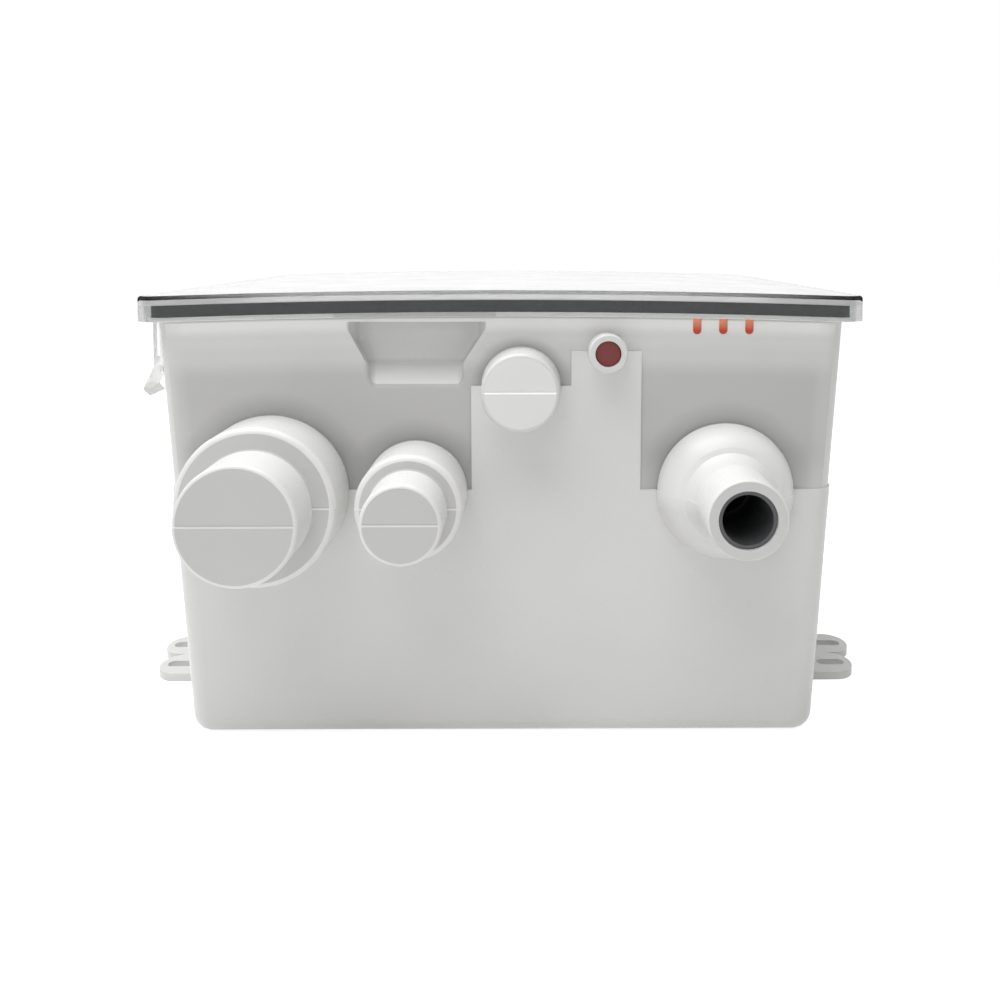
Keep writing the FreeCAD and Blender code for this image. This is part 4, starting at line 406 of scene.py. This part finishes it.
def recessShade(tree, axes, finish, recess):
    # painted shade in the finger recess and on the flange over it
    within = times(tree, between(tree, axes[0], recess["left"], recess["right"]),
                   calc(tree, "GREATER_THAN", axes[2], recess["bottom"] * mm),
                   between(tree, axes[1], recess["front"], recess["deep"]))
    over = calc(tree, "GREATER_THAN", axes[2], recess["line"] * mm)
    gap = calc(tree, "ABSOLUTE", calc(tree, "SUBTRACT", axes[2], recess["line"] * mm))
    line = spreadTo(tree, gap, recess["shadowLineTone"] - 1, 0, 0, recess["lineReach"] * mm)
    change = calc(tree, "ADD", calc(tree, "MULTIPLY", over, recess["backShade"] - 1), line)
    back = calc(tree, "ADD", times(tree, change, within), 1.0)
    flange = times(tree, between(tree, axes[0], recess["flangeLeft"], recess["flangeRight"]),
                   calc(tree, "GREATER_THAN", axes[2], finish["rim"] * mm),
                   calc(tree, "LESS_THAN", axes[1], finish["frontFace"] * mm))
    return calc(tree, "ADD", back, calc(tree, "MULTIPLY", flange, recess["flangeShade"] - 1))


def heightLightAndShade(tree, axes, finish):
    # painted shade and painted highlight: a smooth run of tones from the ledge up to the crowned rim
    bow = calc(tree, "POWER", calc(tree, "DIVIDE", axes[0], finish["crownReach"] * mm), 2.0)
    lift = calc(tree, "MULTIPLY", calc(tree, "SUBTRACT", 1.0, bow), finish["crown"] * mm)
    share = spreadTo(tree, calc(tree, "SUBTRACT", axes[2], lift), 0, 1, finish["ledge"] * mm,
                     finish["rim"] * mm)
    ramp = tree.nodes.new("ShaderNodeValToRGB")
    ramp.color_ramp.interpolation = "EASE"
    marks = ramp.color_ramp.elements
    while len(marks) < len(finish["panelLightAndShade"]):
        marks.new(0.5)
    for mark, (height, tone) in zip(marks, finish["panelLightAndShade"]):
        mark.position = height
        mark.color = (tone, tone, tone, 1)
    tree.links.new(share, ramp.inputs[0])
    return ramp.outputs[0]


def tubMaterial(finish, recess):
    material, tree, shader = startMaterial("tubWhite")
    place = objectPlace(tree)
    axes = objectAxes(tree, place)
    panel = panelMask(tree, axes, finish)
    ends, endShading = flatEnds(tree, axes, finish)
    slow = grain(tree, place, finish["patch"], finish["detail"])
    fine = grain(tree, place, finish["grain"], finish["detail"])
    tone = twoTone(tree, spreadTo(tree, slow, 0, 1), finish["colour"], finish["shade"])
    tone = scaled(tree, tone, stepPaintedLight(tree, axes, panel, finish))
    paintedLight = toneOn(tree, paintedLightMask(tree, axes, finish), finish["paintedLight"])
    bossShaded = scaled(tree, tone, times(tree, paintedLight, recessShade(tree, axes, finish, recess)))
    endShaded = scaled(tree, tone, times(tree, partingHighlightAndShadow(tree, axes, finish), endShading))
    # painted shade and painted highlight on the flat front, then painted shade round the bosses' roots
    panelShaded = scaled(tree, tone, heightLightAndShade(tree, axes, finish))
    panelShaded = scaled(tree, panelShaded, rootShade(tree, axes, finish))
    coloured = twoTone(tree, ends, bossShaded, endShaded)
    tree.links.new(twoTone(tree, panel, coloured, panelShaded), shader.inputs["Base Color"])
    dull = calc(tree, "MAXIMUM", panel, ends)
    gloss = calc(tree, "ADD", spreadTo(tree, fine, *finish["gloss"]),
                 calc(tree, "MULTIPLY", dull, finish["dullGloss"]))
    tree.links.new(gloss, shader.inputs["Roughness"])
    wave = addBump(tree, shader, slow, finish["wave"])
    share = calc(tree, "ADD", calc(tree, "MULTIPLY", dull, finish["dullGrain"]), finish["plainGrain"])
    addBump(tree, shader, times(tree, fine, share), finish["bump"], finish["bumpShare"], wave)
    return material


# Clear plastic, lightly hazed; shadow rays pass so that the inside is lit through it
clearSurface = {"patch": 26, "detail": 4, "wave": 0.04, "waveShare": 0.5, "index": 1.49, "shadow": 0.86,
                "milkSpread": (0.8, 1.2)}
lidFinish = {"tint": (0.93, 0.945, 0.94), "haze": (0.03, 0.09), "sheen": 0.08, "milk": 0.16,
             "milkColour": (0.95, 0.95, 0.95)}
strapFinish = {"tint": (0.95, 0.96, 0.955), "haze": (0.05, 0.12), "sheen": 0.5, "milk": 0.12,
               "milkColour": (0.93, 0.93, 0.93)}
glassFinish = {"tint": (0.9, 0.97, 0.96), "haze": (0.0, 0.03), "index": 1.5, "shadow": 0.9, "sheen": 0.5,
               "milk": 0.01, "milkColour": (0.8, 0.85, 0.85)}

# The lid's edge: a darker skirt with frosted ends, a frosted strip, and a painted dark line of shade along
# its top edge that grows to the ends
lidEdge = {"halfLength": 124.15, "halfDepth": 94.65, "corner": 9.8, "skirt": 2.4, "inset": 1.2,
           "top": 159.0, "crown": 2.1, "crownReach": 118.5, "skirtTint": (0.72, 0.73, 0.73),
           "skin": 0.12, "band": 1.35, "bandAtEnd": 1.0, "endReach": 3.0, "dark": (0.4, 0.95),
           "darkFrom": 60.0, "darkTo": 119.0, "shadeLineColour": (0.012, 0.012, 0.013),
           "stripEnd": 3.2, "endFrom": 119.5, "endFrost": 0.55, "frost": 0.55,
           "frostColour": (0.70, 0.70, 0.69)}


def edgeMasks(tree, place, edge):
    # the lid's skirt, the share of the painted dark line of shade along its top edge, and the share of the
    # frosted parts
    x, y, z = objectAxes(tree, place)
    along = calc(tree, "ABSOLUTE", x)
    outX = calc(tree, "SUBTRACT", along, (edge["halfLength"] - edge["corner"]) * mm)
    outY = calc(tree, "SUBTRACT", calc(tree, "ABSOLUTE", y), (edge["halfDepth"] - edge["corner"]) * mm)
    within = calc(tree, "MINIMUM", calc(tree, "MAXIMUM", outX, outY), 0.0)
    roundX = calc(tree, "POWER", calc(tree, "MAXIMUM", outX, 0.0), 2.0)
    roundY = calc(tree, "POWER", calc(tree, "MAXIMUM", outY, 0.0), 2.0)
    depth = calc(tree, "ADD", calc(tree, "SQRT", calc(tree, "ADD", roundX, roundY)), within)
    skirt = calc(tree, "GREATER_THAN", depth, (edge["corner"] - edge["skirt"]) * mm)
    outside = calc(tree, "GREATER_THAN", depth, (edge["corner"] - edge["inset"]) * mm)
    bow = calc(tree, "POWER", calc(tree, "DIVIDE", x, edge["crownReach"] * mm), 2.0)
    top = calc(tree, "SUBTRACT", edge["top"] * mm, calc(tree, "MULTIPLY", bow, edge["crown"] * mm))
    under = calc(tree, "SUBTRACT", top, z)
    nearEnd = spreadTo(tree, along, 0.0, edge["bandAtEnd"] * mm,
                       (edge["halfLength"] - edge["endReach"]) * mm, edge["halfLength"] * mm)
    band = between(tree, calc(tree, "SUBTRACT", under, nearEnd), edge["skin"] - edge["bandAtEnd"],
                   edge["band"])
    share = spreadTo(tree, along, *edge["dark"], edge["darkFrom"] * mm, edge["darkTo"] * mm)
    strip = times(tree, between(tree, under, edge["band"], edge["stripEnd"]), outside)
    ends = times(tree, calc(tree, "GREATER_THAN", along, edge["endFrom"] * mm), edge["endFrost"], outside)
    frosted = calc(tree, "MULTIPLY", calc(tree, "MAXIMUM", strip, ends), edge["frost"])
    return skirt, times(tree, band, outside, share), frosted


def clearMaterial(name, finish, edge=None):
    finish = {**clearSurface, **finish}
    material, tree, shader = startMaterial(name)
    place = objectPlace(tree)
    slow = grain(tree, place, finish["patch"], finish["detail"])
    shader.inputs["Transmission Weight"].default_value = 1.0
    shader.inputs["IOR"].default_value = finish["index"]
    shader.inputs["Specular IOR Level"].default_value = finish["sheen"]
    tree.links.new(spreadTo(tree, slow, *finish["haze"]), shader.inputs["Roughness"])
    addBump(tree, shader, slow, finish["wave"], finish["waveShare"])
    milkShare = spreadTo(tree, slow, *[share * finish["milk"] for share in finish["milkSpread"]])
    if edge is None:
        shader.inputs["Base Color"].default_value = (*finish["tint"], 1)
        milk = matteShader(tree, finish["milkColour"])
        cloudy = blendShaders(tree, milkShare, shader.outputs[0], milk)
    else:
        skirt, dark, frosted = edgeMasks(tree, place, edge)
        tint = twoTone(tree, skirt, finish["tint"], edge["skirtTint"])
        tree.links.new(tint, shader.inputs["Base Color"])
        milkShare = times(tree, milkShare, calc(tree, "SUBTRACT", 1.0, skirt))
        milk = matteShader(tree, twoTone(tree, skirt, finish["milkColour"], edge["frostColour"]))
        cloudy = blendShaders(tree, largest(tree, milkShare, frosted), shader.outputs[0], milk)
        # painted shade: a dark matte line along the lid's top edge
        cloudy = blendShaders(tree, dark, cloudy, matteShader(tree, edge["shadeLineColour"]))
    through = tree.nodes.new("ShaderNodeBsdfTransparent")
    through.inputs["Color"].default_value = (finish["shadow"],) * 3 + (1,)
    shadowRay = tree.nodes.new("ShaderNodeLightPath").outputs["Is Shadow Ray"]
    out = next(n for n in tree.nodes if n.type == "OUTPUT_MATERIAL")
    tree.links.new(blendShaders(tree, shadowRay, cloudy, through.outputs[0]), out.inputs["Surface"])
    return material


dress(tubMaterial(tubFinishAndShade, recessShading), "tub")
dress(clearMaterial("clearLid", lidFinish, lidEdge), "lid")
dress(clearMaterial("clearStrap", strapFinish), "latch_front", "latch_rear")
dress(clearMaterial("capsuleGlass", glassFinish), "switch_capsule")

# How each kind of surface varies: patch and grain are pitches, wave and bump are heights, in millimetres
plasticSurface = {"patch": 34, "patchDetail": 3, "grain": 0.5, "detail": 3, "roughness": 0.5,
                  "stretch": (1, 1, 1), "wave": 0.05, "bump": 0.02, "bumpShare": 0.6}
metalSurface = {"metallic": 1.0, "patch": 9, "patchDetail": 3, "grain": 0.35, "detail": 4, "roughness": 0.6,
                "stretch": (1, 1, 0.06), "bump": 0.01, "bumpShare": 0.5}
rubberSurface = {"patch": 18, "patchDetail": 4, "grain": 0.3, "detail": 4, "roughness": 0.6,
                 "stretch": (1, 1, 1), "bump": 0.03, "bumpShare": 0.5}


def surfaceMaterial(name, surface, look):
    # slow patches change the tone, and a finer grain changes the gloss and stands up a little
    look = {**surface, **look}
    material, tree, shader = startMaterial(name)
    place = objectPlace(tree)
    slow = grain(tree, place, look["patch"], look["patchDetail"])
    fine = grain(tree, place, look["grain"], look["detail"], look["roughness"], look["stretch"])
    tone = twoTone(tree, spreadTo(tree, slow, 0, 1), look["colour"], look["shade"])
    tree.links.new(tone, shader.inputs["Base Color"])
    tree.links.new(spreadTo(tree, fine, *look["gloss"]), shader.inputs["Roughness"])
    wave = addBump(tree, shader, slow, look["wave"]) if "wave" in look else None
    addBump(tree, shader, fine, look["bump"], look["bumpShare"], wave)
    if "metallic" in look:
        shader.inputs["Metallic"].default_value = look["metallic"]
    if "sheen" in look:
        shader.inputs["Specular IOR Level"].default_value = look["sheen"]
    if "light" in look:
        # painted light: paler with height, standing in for the light on the tips of the keeper's teeth
        height = objectAxes(tree, place)[2]
        share = spreadTo(tree, height, 0, 1, look["fadeFrom"] * mm, look["fadeTo"] * mm)
        tree.links.new(twoTone(tree, share, tone, look["light"]), shader.inputs["Base Color"])
    return material


plasticLooks = {
    "noseGrey": {"nodes": ["valve_body"], "colour": (0.088, 0.090, 0.094), "shade": (0.068, 0.070, 0.074),
                 "gloss": (0.34, 0.5), "bump": 0.04},
    "valveGrey": {"nodes": ["brush_plate", "switch_base"], "colour": (0.30, 0.31, 0.32),
                  "shade": (0.26, 0.27, 0.28), "gloss": (0.30, 0.45)},
    # the keeper's teeth carry painted light, paler towards their tips
    "keeperRed": {"nodes": ["valve_keeper"], "colour": (0.70, 0.058, 0.024), "shade": (0.62, 0.048, 0.020),
                  "gloss": (0.24, 0.36), "light": (0.94, 0.36, 0.20), "fadeFrom": 144.8, "fadeTo": 148.6},
    "pumpBlack": {"nodes": ["strainer_base", "volute_housing", "cartridge_cap"],
                  "colour": (0.030, 0.032, 0.035), "shade": (0.022, 0.024, 0.027), "gloss": (0.34, 0.5)},
    "cartridgeBlue": {"nodes": ["cartridge_shell"], "colour": (0.02, 0.09, 0.33),
                      "shade": (0.015, 0.07, 0.27), "gloss": (0.2, 0.34)},
    "impellerGrey": {"nodes": ["impeller"], "colour": (0.24, 0.25, 0.26), "shade": (0.20, 0.21, 0.22),
                     "gloss": (0.3, 0.45)},
    "floatBlue": {"nodes": ["switch_float"], "colour": (0.03, 0.16, 0.42), "shade": (0.025, 0.13, 0.36),
                  "gloss": (0.32, 0.48)},
    "basketGrey": {"nodes": ["basket_floor", "basket_front", "basket_back", "basket_ends"],
                   "colour": (0.42, 0.43, 0.44), "shade": (0.37, 0.38, 0.39), "gloss": (0.3, 0.45)},
    "ferriteBlack": {"nodes": ["field_magnets"], "colour": (0.035, 0.035, 0.038),
                     "shade": (0.05, 0.05, 0.052), "gloss": (0.5, 0.7), "bump": 0.05},
    "carbonBlack": {"nodes": ["carbon_brushes"], "colour": (0.02, 0.02, 0.02), "shade": (0.035, 0.035, 0.035),
                    "gloss": (0.4, 0.6)},
}
metalLooks = {
    "steel": {"nodes": ["valve_pin", "hose_clamp_pump", "hose_clamp_valve", "clamp_screws", "pump_screws",
                        "motor_shaft", "switch_screws", "switch_pin"],
              "colour": (0.58, 0.58, 0.58), "shade": (0.48, 0.48, 0.49), "gloss": (0.18, 0.4)},
    "platedCan": {"nodes": ["motor_can"], "colour": (0.62, 0.61, 0.56), "shade": (0.52, 0.52, 0.50),
                  "gloss": (0.22, 0.42)},
    "bronze": {"nodes": ["lower_bearing", "upper_bearing", "impeller_nut"], "colour": (0.60, 0.38, 0.16),
               "shade": (0.45, 0.28, 0.12), "gloss": (0.25, 0.45)},
    "laminations": {"nodes": ["armature_core"], "colour": (0.20, 0.20, 0.21), "shade": (0.14, 0.14, 0.15),
                    "gloss": (0.4, 0.6), "stretch": (0.05, 0.05, 1)},
    "copperWire": {"nodes": ["armature_windings"], "colour": (0.62, 0.22, 0.07), "shade": (0.45, 0.14, 0.05),
                   "gloss": (0.2, 0.4), "stretch": (1, 1, 0.3)},
    "copperBar": {"nodes": ["commutator"], "colour": (0.75, 0.36, 0.20), "shade": (0.60, 0.28, 0.15),
                  "gloss": (0.15, 0.35)},
}
rubberLooks = {
    "gasketBlack": {"nodes": ["rim_gasket", "valve_ring", "valve_flap", "cartridge_ring", "shaft_seal"],
                    "colour": (0.008, 0.009, 0.013), "shade": (0.006, 0.007, 0.010), "gloss": (0.6, 0.76),
                    "sheen": 0.2},
    "plugRed": {"nodes": ["cable_plug"], "colour": (0.215, 0.040, 0.036), "shade": (0.170, 0.030, 0.028),
                "gloss": (0.5, 0.7)},
    "hoseBlack": {"nodes": ["discharge_hose"], "colour": (0.030, 0.030, 0.033),
                  "shade": (0.022, 0.022, 0.025), "gloss": (0.35, 0.55)},
}
for surface, looks in ((plasticSurface, plasticLooks), (metalSurface, metalLooks),
                       (rubberSurface, rubberLooks)):
    for lookName, look in looks.items():
        dress(surfaceMaterial(lookName, surface, look), *look["nodes"])
print("stage: materials ready")

# Woven wire that lines the basket: wires pass over and under each other, panel by panel
wireSetup = {"pitch": 2.2, "wire": 0.16, "sides": 4,
             "look": {"colour": (0.60, 0.60, 0.59), "shade": (0.46, 0.46, 0.46), "gloss": (0.16, 0.34),
                      "stretch": (1, 1, 1)}}


def weaveGroup(setup, material):
    group = bpy.data.node_groups.new("wovenPanel", "GeometryNodeTree")
    for label in ("Width", "Height", "Pitch", "Wire"):
        group.interface.new_socket(label, in_out="INPUT", socket_type="NodeSocketFloat")
    group.interface.new_socket("Geometry", in_out="OUTPUT", socket_type="NodeSocketGeometry")
    source = group.nodes.new("NodeGroupInput").outputs
    join = group.nodes.new("GeometryNodeJoinGeometry")

    def number(operation, first, second=0.0):
        return calc(group, operation, first, second)

    def triple(*parts):
        node = group.nodes.new("ShaderNodeCombineXYZ")
        for index, part in enumerate(parts):
            if isinstance(part, (int, float)):
                node.inputs[index].default_value = part
            else:
                group.links.new(part, node.inputs[index])
        return node.outputs[0]

    def towards(side, amount):
        return triple(amount, 0, 0) if side == 0 else triple(0, amount, 0)

    # wires along the width, then wires along the height, which start half a pitch in
    for side, along, other, inset in ((0, "Width", "Height", 0.0), (1, "Height", "Width", 0.5)):
        steps = number("FLOOR", number("DIVIDE", source[along], source["Pitch"]))
        gap = number("MULTIPLY", source["Pitch"], 2.0)
        for parity in (0, 1):
            # one wire, waving over and under with the pitch
            line = group.nodes.new("GeometryNodeCurvePrimitiveLine")
            group.links.new(towards(side, number("MULTIPLY", steps, source["Pitch"])), line.inputs["End"])
            fine = group.nodes.new("GeometryNodeResampleCurve")
            group.links.new(line.outputs[0], fine.inputs["Curve"])
            group.links.new(number("ADD", number("MULTIPLY", steps, 2.0), 1.0), fine.inputs["Count"])
            spot = objectAxes(group, group.nodes.new("GeometryNodeInputPosition").outputs[0])[side]
            phase = number("MULTIPLY", number("DIVIDE", spot, source["Pitch"]), math.pi)
            phase = number("ADD", phase, math.pi * (parity + 3 * inset))
            wave = number("MULTIPLY", number("SINE", phase), source["Wire"])
            bend = group.nodes.new("GeometryNodeSetPosition")
            group.links.new(fine.outputs[0], bend.inputs["Geometry"])
            group.links.new(triple(0, 0, wave), bend.inputs["Offset"])
            ring = group.nodes.new("GeometryNodeCurvePrimitiveCircle")
            ring.inputs["Resolution"].default_value = setup["sides"]
            group.links.new(source["Wire"], ring.inputs["Radius"])
            tube = group.nodes.new("GeometryNodeCurveToMesh")
            group.links.new(bend.outputs[0], tube.inputs["Curve"])
            group.links.new(ring.outputs[0], tube.inputs["Profile Curve"])
            tube.inputs["Fill Caps"].default_value = True
            # every second place across the panel
            row = group.nodes.new("GeometryNodeMeshLine")
            group.links.new(number("FLOOR", number("DIVIDE", source[other], gap)), row.inputs["Count"])
            first = number("MULTIPLY", source["Pitch"], parity + inset)
            group.links.new(towards(1 - side, first), row.inputs["Start Location"])
            group.links.new(towards(1 - side, gap), row.inputs["Offset"])
            place = group.nodes.new("GeometryNodeInstanceOnPoints")
            group.links.new(row.outputs[0], place.inputs["Points"])
            group.links.new(tube.outputs[0], place.inputs["Instance"])
            group.links.new(place.outputs[0], join.inputs[0])
    real = group.nodes.new("GeometryNodeRealizeInstances")
    paint = group.nodes.new("GeometryNodeSetMaterial")
    paint.inputs["Material"].default_value = material
    out = group.nodes.new("NodeGroupOutput")
    group.links.new(join.outputs[0], real.inputs[0])
    group.links.new(real.outputs[0], paint.inputs["Geometry"])
    group.links.new(paint.outputs[0], out.inputs[0])
    return group


def wovenPanel(group, width, height, setup, place):
    # one flat panel as plain mesh data, moved to its place in the basket
    holder = bpy.data.objects.new("panelHolder", bpy.data.meshes.new("panelHolder"))
    bpy.context.scene.collection.objects.link(holder)
    modifier = holder.modifiers.new("weave", "NODES")
    modifier.node_group = group
    values = {"Width": width, "Height": height, "Pitch": setup["pitch"] * mm, "Wire": setup["wire"] * mm}
    for socket in group.interface.items_tree:
        if socket.in_out == "INPUT":
            modifier[socket.identifier] = values[socket.name]
    bpy.context.view_layer.update()
    mesh = bpy.data.meshes.new_from_object(holder.evaluated_get(bpy.context.evaluated_depsgraph_get()))
    bpy.data.objects.remove(holder)
    mesh.transform(place)
    return mesh


def basketWire(setup):
    material = surfaceMaterial("wireSteel", metalSurface, setup["look"])
    group = weaveGroup(setup, material)
    low, high = (Vector(corner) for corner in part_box("basket_mesh"))
    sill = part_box("basket_front")[1][2]  # the front is open above the moulded front wall
    size = high - low
    half = 2 * setup["wire"] * mm  # half the thickness of the weave
    flat = Matrix.Identity(4)
    upright = Matrix.Rotation(math.pi / 2, 4, "X")
    sideways = Matrix.Rotation(math.pi / 2, 4, "Z") @ upright
    panels = (
        (size.x, size.y, (low.x, low.y, low.z + half), flat),
        (size.x, size.z, (low.x, high.y - half, low.z), upright),
        (size.x, sill - low.z, (low.x, low.y + half, low.z), upright),
        (size.y, size.z, (low.x + half, low.y, low.z), sideways),
        (size.y, size.z, (high.x - half, low.y, low.z), sideways),
    )
    build = bmesh.new()
    for width, height, corner, turn in panels:
        build.from_mesh(wovenPanel(group, width, height, setup, Matrix.Translation(corner) @ turn))
    mesh = bpy.data.meshes.new("basketWire")
    build.to_mesh(mesh)
    build.free()
    mesh.materials.append(material)
    piece = bpy.data.objects.new("basketWire", mesh)
    bpy.context.scene.collection.objects.link(piece)
    for polygon in mesh.polygons:
        polygon.use_smooth = True
    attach(piece, "basket")
    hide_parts("basket_mesh")
    print("stage: basket wire,", len(mesh.polygons), "faces")


basketWire(wireSetup)

print("stage: done")
